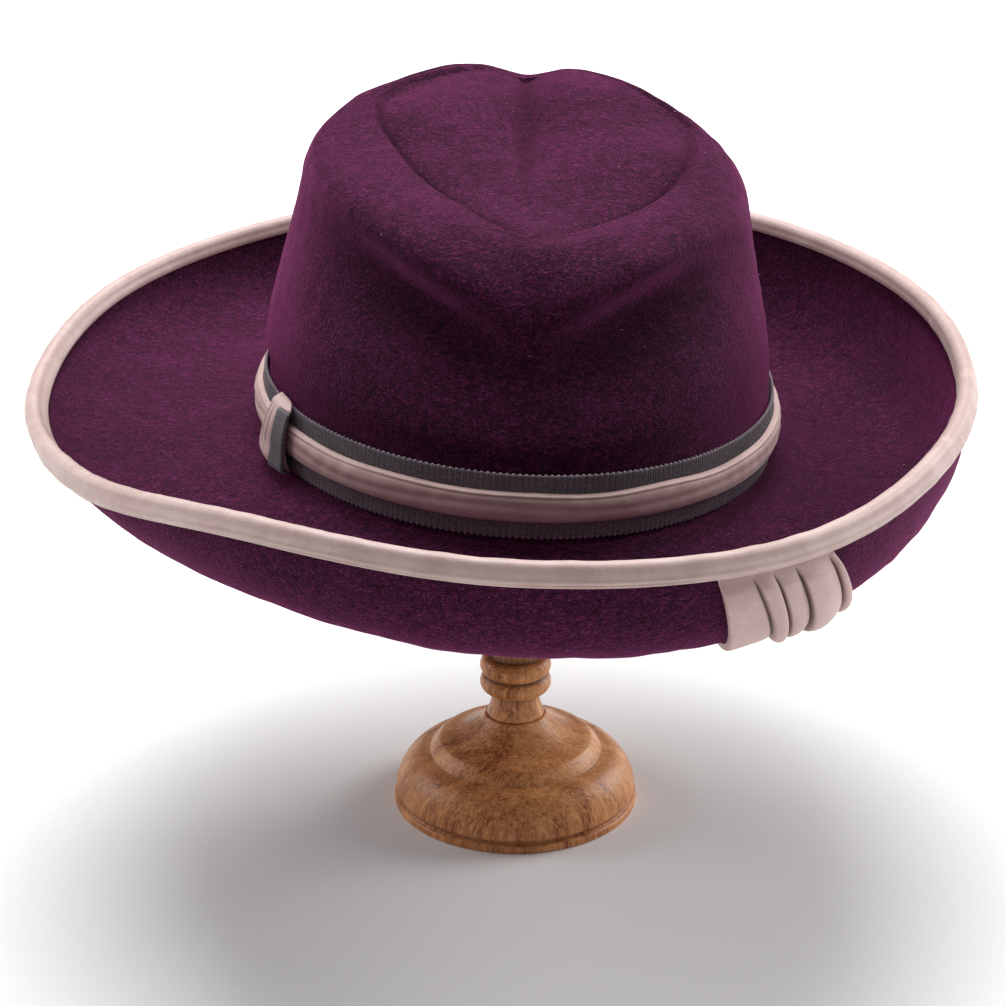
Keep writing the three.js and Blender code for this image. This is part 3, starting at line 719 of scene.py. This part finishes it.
def makeBrim():
    degrees = allRound(brim["columns"])
    bendWays, ways = np.linspace(-0.5, 0, brim["bendRows"])[:-1], np.linspace(0, 1, brim["rows"])
    way = np.concatenate([[-1, -0.75], bendWays, ways, [1.3, 1.65, 2]])[:, None]
    under = besideBrim(degrees, way, -feltWall / 2)
    above = besideBrim(degrees, way, feltWall / 2)
    seen = window(brim["dentsAt"], way)[..., None]
    normal = (under - above) / feltWall
    under = under + normal * seen * uneven(under, brim["underDents"])[..., None]
    above = above - normal * seen * uneven(above, brim["upperDents"])[..., None]
    uv = hoop(brim["long"], brim["columns"], way[:, 0] * brim["wide"])
    piece = sheetObject("brim_felt", under, above, uv, plumFelt, closed=True)
    return put(piece, "felt", "brim")


makeBrim()


# Binding: a satin strip folded over the brim's edge, turned in at both lips and a little puffed and puckered
binding = {
    "wall": 1.0, "ease": 0.5, "round": 0.6, "puff": 0.3,
    "roll": 1.05,  # how much further the leg under the brim swells
    "rollAbove": 0.3,  # share of that on the leg above
    "rollAt": 0.42,  # share of the leg up from its lip
    "rollWidth": 0.33,
    "groove": 0.3,  # how deep the seam is below the roll
    "grooveAt": 0.2, "grooveWidth": 0.06,
    "drawn": 0.18,  # share of the leg over which its face draws in to the lip
    "turns": 46,  # puckers round the hat
    "fineTurns": 120, "fineLean": 5, "pucker": 0.07,
    # The seam is darkened by painted shade in its groove under the roll
    "seamShade": 0.8,  # how dark the seam is where it is creased, in so many places round the hat
    "seamWidth": 0.05, "seamTurns": 9,
    "long": 1000,  # length of its UV map, and below the width of each third
    "wide": 8, "columns": 640, "legRows": 14, "foldRows": 12,
}


# The binding's section: way 1 to 2 is its leg under the brim, 2 to 3 the fold, a half circle, 3 to 4 the leg above.
# The outer face stands off by the wall, a puff and a bell-shaped roll, less a narrow groove at the seam, and draws in
# to the felt at both lips by a quarter circle
def bindingFace(degrees, way, outerSide):
    wall = binding["wall"] if outerSide else 0
    leg = np.clip(np.where(way <= 2, way - 1, 4 - way), 0, 1)
    u = degrees / 360
    if outerSide:
        fromLip = np.clip(leg / binding["drawn"], 0, 1)
        draw = np.sqrt(fromLip * (2 - fromLip))
        under = 1 - smooth(2, 3, way)
        roll = binding["roll"] * (binding["rollAbove"] + (1 - binding["rollAbove"]) * under)
        puff = binding["puff"] + roll * bell(leg, binding["rollAt"], binding["rollWidth"])
        puff = puff - binding["groove"] * under * bell(leg, binding["grooveAt"], binding["grooveWidth"])
        fine = slant(u, way, binding["fineTurns"], 22, lean=binding["fineLean"])
        folds = binding["pucker"] * (slant(u, way, binding["turns"], 21) + 0.5 * fine)
        wall = thinnest + (wall - thinnest + puff + folds) * draw
    half = feltWall / 2 + binding["ease"] + wall
    onLeg = np.where(way <= 2, way, 5 - way)
    below = np.where(way <= 2.5, -1, 1) * half
    legs = besideBrim(degrees, onLeg, below)
    middle, run = brimMiddle(degrees, np.full_like(way, 2.0))
    turn = math.pi * np.clip(way - 2, 0, 1)
    beyond = (binding["ease"] + wall + (binding["round"] if outerSide else 0)) * np.sin(turn)
    above = -half * np.cos(turn)
    fold = polar(
        degrees,
        middle[..., 0] + beyond * run[..., 0] - above * run[..., 1],
        middle[..., 1] + beyond * run[..., 1] + above * run[..., 0],
    )
    return np.where(((way > 2) & (way < 3))[..., None], fold, legs)


def makeBinding():
    degrees = allRound(binding["columns"])
    leg = np.concatenate([[0, 0.02, 0.05], np.linspace(0.1, 0.9, binding["legRows"])])
    way = np.concatenate([1 + leg, np.linspace(2, 3, binding["foldRows"]), (4 - leg)[::-1]])[:, None]
    outer, inner = bindingFace(degrees, way, True), bindingFace(degrees, way, False)
    where = smooth(-1.5, 1.5, slant(degrees / 360, 0 * way, binding["seamTurns"], 23))
    # Painted shade in the seam's groove, under the roll
    seam = binding["seamShade"] * bell(way, 1 + binding["grooveAt"], binding["seamWidth"]) * where
    paintedCreaseShade = ("paintedCreaseShade", np.tile(seam.ravel(), 2))
    uv = hoop(binding["long"], binding["columns"], way[:, 0] * binding["wide"])
    piece = sheetObject("brim_binding_satin", outer, inner, uv, paleSatin, closed=True, values=paintedCreaseShade)
    return put(piece, "satin", "brim_binding")


bindingPiece = makeBinding()


# Ribbon: ribbed grosgrain round the foot of the crown, with small loops of thread along both edges
ribbon = {
    "width": 21, "wall": 1.0, "lean": 0.3,
    "ribs": 640,  # with a loop of the edge over every second one
    "perRib": 5, "ribHeight": 0.22,
    "scallop": 0.42,  # how far the loops stand out, over the edge's own width
    "loopWidth": 0.8, "loopHighlight": 0.75, "edge": 0.9, "wave": 0.12, "waves": 18, "waveLong": 8,
    "waveFull": 5, "long": 570,
}
bendHollow = brim["breakRadius"] - feltWall / 2
ribbonLow = brim["breakLevel"] + brim["breakRadius"] - math.sqrt(bendHollow**2 - (bendHollow - gap) ** 2) + 2 * gap
ribbonHigh = ribbonLow + ribbon["width"]
overFelt = feltWall + gap
overRibbon = overFelt + ribbon["wall"] + gap


# How far the bands lean in towards the crown at a height
def leanOf(height):
    return ribbon["lean"] * smooth(hatSize["seam"], ribbonHigh, height)


# Ribs and loops are cosines once round
def makeRibbon():
    columns = ribbon["ribs"] * ribbon["perRib"]
    degrees = allRound(columns)
    across = crowded(4, ribbon["width"], ribbon["edge"])[:, None]
    rib = 0.5 + 0.5 * np.cos(2 * math.pi * ribbon["ribs"] * degrees / 360)
    loop = 0.5 + 0.5 * np.cos(math.pi * ribbon["ribs"] * degrees / 360)
    foot, head = bell(across, 0, ribbon["loopWidth"]), bell(across, ribbon["width"], ribbon["loopWidth"])
    height = ribbonLow + across - ribbon["scallop"] * (loop - 0.5) * (foot - head)
    thick = ribbon["wall"] * rounded(across, ribbon["width"], ribbon["edge"])
    middle = oval(degrees, overFelt + ribbon["wall"] / 2) - leanOf(height)
    wave = ribbon["wave"] * slant(degrees / 360, across / ribbon["waveLong"], ribbon["waves"], 31)
    relief = ribbon["ribHeight"] * (rib - 0.6) + wave * smooth(0, ribbon["waveFull"], across)
    outer = polar(degrees, middle + thick / 2 + relief, height)
    inner = polar(degrees, middle - thick / 2, height)
    # Painted highlight on the picot loops along both edges
    picotHighlight = ("picotHighlight", np.tile((ribbon["loopHighlight"] * loop**2 * (foot + head)).ravel(), 2))
    uv = hoop(ribbon["long"], columns, across[:, 0])
    piece = sheetObject("ribbon_grosgrain", outer, inner, uv, charcoalRibbon, closed=True, values=picotHighlight)
    return put(piece, "grosgrain", "ribbon_band")


ribbonPiece = makeRibbon()


# Satin strip: a bias fold laid along the ribbon, with a rolled upper edge and soft lengthwise hollows, each a bell at
# a share of the width, which wander with the sway. Its puff goes as a power of a sine over the width
band = {
    "raise": 5.8, "width": 9.6, "edge": 1.0, "puff": 1.7, "rollAt": 0.94, "rollWidth": 0.035,
    "roll": 0.5,
    "hollows": [
        {"deep": 0.12, "at": 0.87, "sway": 0.3, "wide": 0.03},
        {"deep": 0.4, "at": 0.5, "sway": -1.5, "wide": 0.13},
    ],
    "sway": 0.04, "edgeWidth": 0.9, "pucker": 0.1,
    "bow": 0.22,  # how far its upper edge wanders
    "long": 580, "columns": 640,
}
satinLow = ribbonLow + band["raise"]


def makeBand():
    degrees = allRound(band["columns"])
    u = degrees / 360
    width = band["width"]
    across = crowded(24, width, band["edgeWidth"])[:, None]
    share = across / width
    sway = band["sway"] * slant(u, 0 * share, 5, 41)
    rows = band["hollows"]
    hollow = sum(row["deep"] * bell(share, row["at"] + row["sway"] * sway, row["wide"]) for row in rows)
    thick = band["edge"] + band["puff"] * np.sin(math.pi * share) ** 0.6
    thick = thick + band["roll"] * bell(share, band["rollAt"], band["rollWidth"]) - hollow
    pucker = band["pucker"] * slant(u, share, 60, 42, lean=6) * np.sin(math.pi * share)
    thick = thick * rounded(across, width, band["edgeWidth"]) + pucker
    height = satinLow + across + band["bow"] * slant(u, 0 * share, 12, 43) * share
    foot = oval(degrees, overRibbon) - leanOf(height)
    outer = polar(degrees, foot + np.maximum(thick, thinnest), height)
    inner = polar(degrees, foot + 0 * thick, height)
    uv = hoop(band["long"], band["columns"], across[:, 0])
    piece = sheetObject("satin_strip", outer, inner, uv, dustySatin, closed=True)
    return put(piece, "satin", "satin_band")


satinPiece = makeBand()


# Keeper: a satin loop over both bands, with a short length of the ribbon laid on it. Its sides are in degrees at its
# foot, and lean is how much further round they lie at its top
keeper = {
    "satinFrom": 202.8, "satinFromLean": 5.5, "satinTo": 217.2, "ribbonFrom": 213,
    "ribbonFromLean": 1, "ribbonTo": 218.6,
    "curl": 5,  # degrees that its free side turns in at the very foot
    "curlHigh": 1.5,  # millimetres over which it does
    "over": 1.4,
    "corner": 0.07,  # share by which its top is rounded off at the ribbon's side
    "wall": 0.9, "swell": 0.9,
    "foot": 1.7,  # how far its foot bulges over the brim
    "footAt": 2.6, "footWidth": 3.4, "footFull": 1.8, "satinThick": 2.8, "thinnest": 0.15,
    "folds": [
        {"deep": 0.35, "at": 0.2, "wave": 0.04, "climb": 0, "wide": 0.06},
        {"deep": 0.3, "at": 0.42, "wave": 0, "climb": -0.06, "wide": 0.05},
    ],
    "long": 24,  # of its UV map, and below the ribbon's
    "ribbonLong": 11,
    "ribbonInset": 0.7,  # how far its ends lie inside the loop's, above its foot
    "ribbonWall": 0.9,
    "loops": 0.24,  # degrees
    "ribs": 30, "perRib": 6, "ribHeight": 0.2,
}
keeperHigh = ribbonHigh + keeper["over"]
keeperLength = keeperHigh - ribbonLow


# The loop's sides at millimetres up from its foot
def keeperSides(across):
    up = smooth(0, keeperLength, across)
    low = keeper["satinFrom"] + keeper["satinFromLean"] * up + keeper["curl"] * np.exp(-across / keeper["curlHigh"])
    return low, keeper["satinTo"] + 0 * up


# The loop's inner face arches from the ribbon's foot over the satin strip to its top, where it turns in
def keeperFoot(degrees, height):
    arch = np.sin(math.pi * np.clip((height - ribbonLow) / keeperLength, 0, 1)) ** 0.55
    tuck = smooth(ribbonHigh, keeperHigh, height)
    return oval(degrees, overRibbon + arch * (keeper["satinThick"] + gap) - tuck - leanOf(height))


# How far the foot of the keeper bulges: a bell over the height, from nothing at the very foot
def keeperBulge(across):
    return keeper["foot"] * bell(across, keeper["footAt"], keeper["footWidth"]) * smooth(0, keeper["footFull"], across)


# The loop's thickness: rounded off at its sides and ends and swollen as a flat arch, a power of a sine, less two soft
# lengthwise folds, which wave or lean a little on their way up
def keeperThick(columns, across):
    share = across / keeperLength
    folds = sum(
        row["deep"] * bell(columns, row["at"] + row["wave"] * np.sin(across / 3) + row["climb"] * share, row["wide"])
        for row in keeper["folds"]
    )
    arch = keeper["swell"] * np.sin(math.pi * columns) ** 0.5 - folds * np.sin(math.pi * share) ** 0.4
    bulge = keeperBulge(across) * np.sin(math.pi * columns) ** 0.3
    return (keeper["wall"] + arch + bulge) * rounded(columns, 1, 0.08) * rounded(across, keeperLength, 2)


def makeKeeperSatin():
    columns = crowded(60, 1, 0.05)[None, :]
    across = crowded(66, keeperLength, 0.8)[:, None]
    low, high = keeperSides(across)
    degrees = low + (high - low) * columns
    thick = keeperThick(columns, across)
    height = ribbonLow + across * (1 - keeper["corner"] * columns**6)
    foot = keeperFoot(degrees, height)
    sag = 0.5 * keeperBulge(across) * np.sin(math.pi * columns) ** 0.3
    outer = polar(degrees, foot + np.maximum(thick, keeper["thinnest"]), height - sag)
    inner = polar(degrees, foot, height)
    uv = strip(columns[0] * keeper["long"], across[:, 0])
    piece = sheetObject("keeper_satin_loop", outer, inner, uv, dustySatin)
    return put(piece, "satin", "keeper_satin")


def makeKeeperRibbon():
    columns = crowded(26, 1, 0.08)[None, :]
    inset, length = keeper["ribbonInset"], keeperLength - 2
    across = np.linspace(inset, inset + length, keeper["ribs"] * keeper["perRib"] + 1)[:, None]
    rib = 0.5 + 0.5 * np.cos(2 * math.pi * keeper["ribs"] * (across - inset) / length)
    low, high = keeperSides(across)
    start = keeper["ribbonFrom"] + keeper["ribbonFromLean"] * smooth(0, keeperLength, across)
    degrees = start + (keeper["ribbonTo"] - start) * columns
    degrees = degrees + keeper["loops"] * (rib - 0.5) * (bell(columns, 1, 0.08) - bell(columns, 0, 0.08))
    under = np.clip((degrees - low) / (high - low), 0.05, 0.9)
    height = ribbonLow + across
    foot = keeperFoot(degrees, height) + keeperThick(under, across) + gap
    thick = keeper["ribbonWall"] * rounded(columns, 1, 0.1) * rounded(across - inset, length, 0.8)
    sag = 0.5 * keeperBulge(across)
    outer = polar(degrees, foot + np.maximum(thick, thinnest) + keeper["ribHeight"] * (rib - 0.6), height - sag)
    inner = polar(degrees, foot + 0 * thick - 0.05, height - sag)
    uv = strip(columns[0] * keeper["ribbonLong"], across[:, 0])
    piece = sheetObject("keeper_grosgrain", outer, inner, uv, charcoalRibbon)
    return put(piece, "grosgrain", "keeper_ribbon")


keeperSatinPiece = makeKeeperSatin()
keeperRibbonPiece = makeKeeperRibbon()


# Pleated strip under the brim: panels between creases that fan out from the binding to the foot. Each row is a crease
# and the panel after it: where the crease meets the binding and the foot, as shares of the width, how far the panel
# stands off, as a share of the rise, and where across the panel its ridge lies
gather = {
    "from": 289.1, "to": 303, "footFrom": 297.5, "footTo": 320, "inner": 0.35,
    "tucked": 0.12,  # how far it runs in under the binding, as a share of the binding's depth
    "thin": 0.35,  # its thickness there
    "wall": 1.2, "rise": 4.3,
    "slot": 1.0,  # how deep the line at the bottom of a crease is
    # How wide and how dark the painted shade along the bottoms of the creases is
    "slotWidth": 0.012, "slotShade": 0.9,
    "atBinding": 0.35,  # share of the rise at the binding
    "wave": 0.12,
    "hollow": 0.2,  # share of the rise by which the inner face stands off as well
    "held": 0.05,  # gap to the felt under the binding
    "long": 55, "wide": 48, "arch": 0.45,
    "panels": [
        {"atEdge": 0, "atFoot": 0, "stands": 0.3, "ridge": 0.12},
        {"atEdge": 0.23, "atFoot": 0.4, "stands": 0.75, "ridge": 0.6},
        {"atEdge": 0.42, "atFoot": 0.45, "stands": 0.6, "ridge": 0.35},
        {"atEdge": 0.62, "atFoot": 0.6, "stands": 0.9, "ridge": 0.28},
        {"atEdge": 0.95, "atFoot": 0.84, "stands": 0.6, "ridge": 0.5},
        {"atEdge": 1, "atFoot": 1, "stands": 0, "ridge": 0.5},
    ],
    "columns": 250, "rows": 80,
}


# The points of besideBrim for a grid whose angles change with the way too, worked out as one long row
def fannedOut(degrees, way, above):
    rows = [grid.reshape(1, -1) for grid in np.broadcast_arrays(degrees, way, above)]
    return besideBrim(*rows).reshape(*degrees.shape, 3)


# How far the panels stand off: each is an arch, a power of 1 - (2p^k - 1)^2 with k putting its top at the ridge, so
# its sides fall steeply into the creases. slots is 1 along the creases between panels, a narrow bell to both sides
def pleats(share, away):
    rise = np.zeros(np.broadcast(share, away).shape)
    slots = np.zeros_like(rise)
    for left, right in zip(gather["panels"][:-1], gather["panels"][1:]):
        start, end = (row["atEdge"] + (row["atFoot"] - row["atEdge"]) * away for row in (left, right))
        p = np.clip((share - start) / (end - start), 0, 1) ** (math.log(0.5) / math.log(left["ridge"]))
        rise = np.maximum(rise, left["stands"] * np.maximum(1 - (2 * p - 1) ** 2, 0) ** gather["arch"])
        slots = np.maximum(slots, bell(share, start, gather["slotWidth"]) * (left["atEdge"] > 0))
    return rise, slots


def makeGather():
    share = crowded(gather["columns"], 1, 0.02)[None, :]
    away = np.linspace(0, 1, gather["rows"])[:, None] ** 1.2  # 0 under the binding, 1 at the foot
    way = 1 + gather["tucked"] + (gather["inner"] - 1 - gather["tucked"]) * away
    low = gather["from"] + (gather["footFrom"] - gather["from"]) * away
    high = gather["to"] + (gather["footTo"] - gather["to"]) * away
    free = smooth(1, 0.94, way)  # 0 under the binding, where it is flat and thin
    deepen = free * (gather["atBinding"] + (1 - gather["atBinding"]) * smooth(0, 0.6, away))
    panels, slots = pleats(share, away)
    rise = np.maximum(gather["rise"] * panels * deepen + gather["wave"] * free * slant(share, away, 3, 51), 0)
    wall = gather["thin"] + (gather["wall"] - gather["thin"]) * free - gather["slot"] * slots * free
    wall = wall * rounded(share, 1, 0.02) * rounded(1 - away, 2, 0.03)
    held, hollow = gather["held"], gather["hollow"]
    below = feltWall / 2 + held + (gap - held + hollow * rise) * free
    degrees = low + (high - low) * share
    outer = fannedOut(degrees, way, -below - (1 - hollow) * rise - wall)
    inner = fannedOut(degrees, way, -below)
    uv = strip(share[0] * gather["long"], away[:, 0] * gather["wide"])
    # Painted shade along the bottoms of the creases
    paintedCreaseShade = ("paintedCreaseShade", np.tile((gather["slotShade"] * slots * free)[::-1].ravel(), 2))
    piece = sheetObject("brim_gather_satin", outer[::-1], inner[::-1], uv, dustySatin, values=paintedCreaseShade)
    return put(piece, "satin", "brim_gather")


pleatedPiece = makeGather()


# Stand: three turned pieces, each an outline of [radius, height] in millimetres carried round the axis. Its curves are
# written as powers and sines of the share s gone along them
stand = {
    "height": 232.7, "footRadius": 42.5, "footHeight": 33, "neck": 8, "bead": 12.4,
    "beadHeight": 6.4, "beadsFrom": 42.3, "domeRadius": 44, "domeHeight": 26, "tenon": 5,
    "tenonLength": 9, "columns": 96,
}


# An outline's corners cut round: each corner is replaced by a curve between the points a bevel away from it
def softened(outline, bevel, steps=5):
    points = np.array(outline, float)
    before, after = points[:-2] - points[1:-1], points[2:] - points[1:-1]
    lengths = [np.linalg.norm(side, axis=1, keepdims=True) for side in (before, after)]
    cut = np.minimum(bevel, 0.45 * np.minimum(*lengths))
    start, end = points[1:-1] + before / lengths[0] * cut, points[1:-1] + after / lengths[1] * cut
    t = np.linspace(0, 1, steps)[None, :, None]
    curve = (1 - t) ** 2 * start[:, None] + 2 * (1 - t) * t * points[1:-1, None] + t**2 * end[:, None]
    return np.concatenate([points[:1], curve.reshape(-1, 2), points[-1:]])


def footOutline():
    r, up = stand["footRadius"], stand["footHeight"]
    socket, floor = stand["tenon"] + gap, up - stand["tenonLength"] - gap
    bulge = np.radians(np.linspace(0, 90, 14))
    bowl = [[r - 0.6 - 11.4 * (1 - math.cos(a)) ** 0.9, 4.8 + 13.7 * math.sin(a)] for a in bulge[:-1]]
    cove = [[r - 12.4 - 3.6 * s**1.4, 18.6 + 4.8 * s] for s in np.linspace(0.1, 1, 6)]
    upper = [[r - 16.5 - 14 * s, 24 + 7 * s**1.8] for s in np.linspace(0.1, 1, 9)]
    head = [[stand["neck"] + 3, up - 0.5], [stand["neck"] + 2.4, up]]
    return [
        [0, 0], [r, 0], [r, 2.4], [r - 1.6, 3.1], [r - 1.6, 3.9], *bowl, *cove, *upper, *head,
        [socket, up], [socket, floor], [0, floor],
    ]


def beadOutline(low):
    neck, tall = stand["neck"] + 2, stand["beadHeight"]
    shares = np.linspace(0.03, 0.97, 14)
    return [[neck + (stand["bead"] - neck) * math.sin(math.pi * s) ** 0.5, low + s * tall] for s in shares]


def stemOutline():
    low, top = stand["footHeight"] + gap, stand["height"] - stand["domeHeight"] - gap
    beads, tall, thin = stand["beadsFrom"], stand["beadHeight"], stand["neck"]
    over = beads + 2 * tall
    waist = [
        [thin + 2.5 * math.sin(math.pi * s) ** 1.2, over + s * (top - 8 - over)] for s in np.linspace(0, 1, 24)
    ]
    flare = [[thin + 3 * math.sin(math.pi / 2 * s), top - 8 + 5 * s] for s in np.linspace(0.15, 1, 6)]
    neck = [[thin + 2 - 2 * math.sin(math.pi / 2 * s), low + (beads - low) * s] for s in np.linspace(0, 1, 8)]
    tenon, tenonLength = stand["tenon"], stand["tenonLength"]
    return [
        [0, low - tenonLength], [tenon, low - tenonLength], [tenon, low],
        *neck, *beadOutline(beads), *beadOutline(beads + tall), *waist, *flare,
        [thin + 3, top], [tenon, top], [tenon, top + tenonLength], [0, top + tenonLength],
    ]


def domeOutline():
    low, r, rim = stand["height"] - stand["domeHeight"], stand["domeRadius"], 5
    socket = stand["tenon"] + gap
    arc = np.radians(np.linspace(0, 90, 26))
    dome = [[r * math.cos(a), low + rim + (stand["domeHeight"] - rim) * math.sin(a)] for a in arc]
    return [
        [0, low + stand["tenonLength"]], [socket, low + stand["tenonLength"]], [socket, low], [r - 4, low],
        [r, low + 3], *dome[:-1], [0, stand["height"]],
    ]


# A turned piece: the outline runs from the axis round its outside and back to the axis, which closes both ends. The
# groove attribute is how far each point lies inside the outline smoothed over a few millimetres
def turnedObject(name, outline, bevel):
    shape = softened(outline, bevel)
    spans = np.linalg.norm(np.diff(shape, axis=0), axis=1)
    shape = shape[np.concatenate([[True], spans > 1e-4])]
    gone = np.concatenate([[0], np.cumsum(np.linalg.norm(np.diff(shape, axis=0), axis=1))])
    fine = np.linspace(0, gone[-1], 400)
    radius = np.interp(fine, gone, shape[:, 0])
    kernel = np.hanning(21) / np.hanning(21).sum()
    smoothed = np.convolve(np.pad(radius, 10, mode="edge"), kernel, "valid")
    groove = np.interp(gone, fine, np.clip((smoothed - radius) / 0.9, 0, 1))
    columns = stand["columns"]
    turn = allRound(columns)
    points = polar(turn, shape[:, :1], shape[:, 1:])
    rows = len(shape)
    ids = np.arange(rows * (columns + 1)).reshape(rows, columns + 1)
    solid = np.arange(rows * columns).reshape(rows, columns)
    solid = np.concatenate([solid, solid[:, :1]], 1)
    solid[0], solid[-1] = solid[0, 0], solid[-1, 0]
    corners = gridCorners(ids)
    uv = hoop(260, columns, gone).reshape(-1, 2) * mm
    faces, grooves = solid.ravel()[corners], ("groove", np.repeat(groove, columns))
    return meshObject(name, inWorld(points, False), faces, uv[corners], waxedWood, grooves)


put(turnedObject("stand_foot_turned", footOutline(), 0.6), "wood", "stand_foot")
put(turnedObject("stand_stem_turned", stemOutline(), 0.4), "wood", "stand_stem")
put(turnedObject("stand_head_turned", domeOutline(), 0.6), "wood", "stand_head")


# Studio: a pale floor that runs to the horizon, a soft sky and three large soft lights
studio = {
    "floor": 6.0, "floorColour": (0.93, 0.93, 0.93, 1), "sky": 0.2,
    "lights": [
        {"name": "top light", "at": (-0.15, 1.2, 2.7), "size": 2.2, "power": 124},
        {"name": "left light", "at": (-1.8, 0.5, 1.1), "size": 1.2, "power": 15},
        {"name": "right light", "at": (1.8, 0.9, 1.0), "size": 1.2, "power": 33},
    ],
}


def makeStudio():
    half = studio["floor"] / 2
    corners = [(-half, -half, 0), (half, -half, 0), (half, half, 0), (-half, half, 0)]
    data = bpy.data.meshes.new("floor")
    data.from_pydata(corners, [], [(0, 1, 2, 3)])
    made, tree, shader = material("pale floor", {"Base Color": studio["floorColour"], "Roughness": 0.9})
    data.materials.append(made)
    floor = bpy.data.objects.new("floor", data)
    bpy.context.scene.collection.objects.link(floor)
    sky = bpy.data.worlds.new("studio")
    sky.use_nodes = True
    sky.node_tree.nodes["Background"].inputs["Color"].default_value = (1, 1, 1, 1)
    sky.node_tree.nodes["Background"].inputs["Strength"].default_value = studio["sky"]
    bpy.context.scene.world = sky
    aim = Vector((0, 0, hatSeat))
    for lamp in studio["lights"]:
        data = bpy.data.lights.new(lamp["name"], "AREA")
        data.size = lamp["size"]
        data.energy = lamp["power"]
        made = bpy.data.objects.new(lamp["name"], data)
        made.location = lamp["at"]
        made.rotation_euler = (aim - made.location).to_track_quat("-Z", "Y").to_euler()
        bpy.context.scene.collection.objects.link(made)
    bpy.context.scene.view_settings.view_transform = "Standard"


makeStudio()
print("studio set")
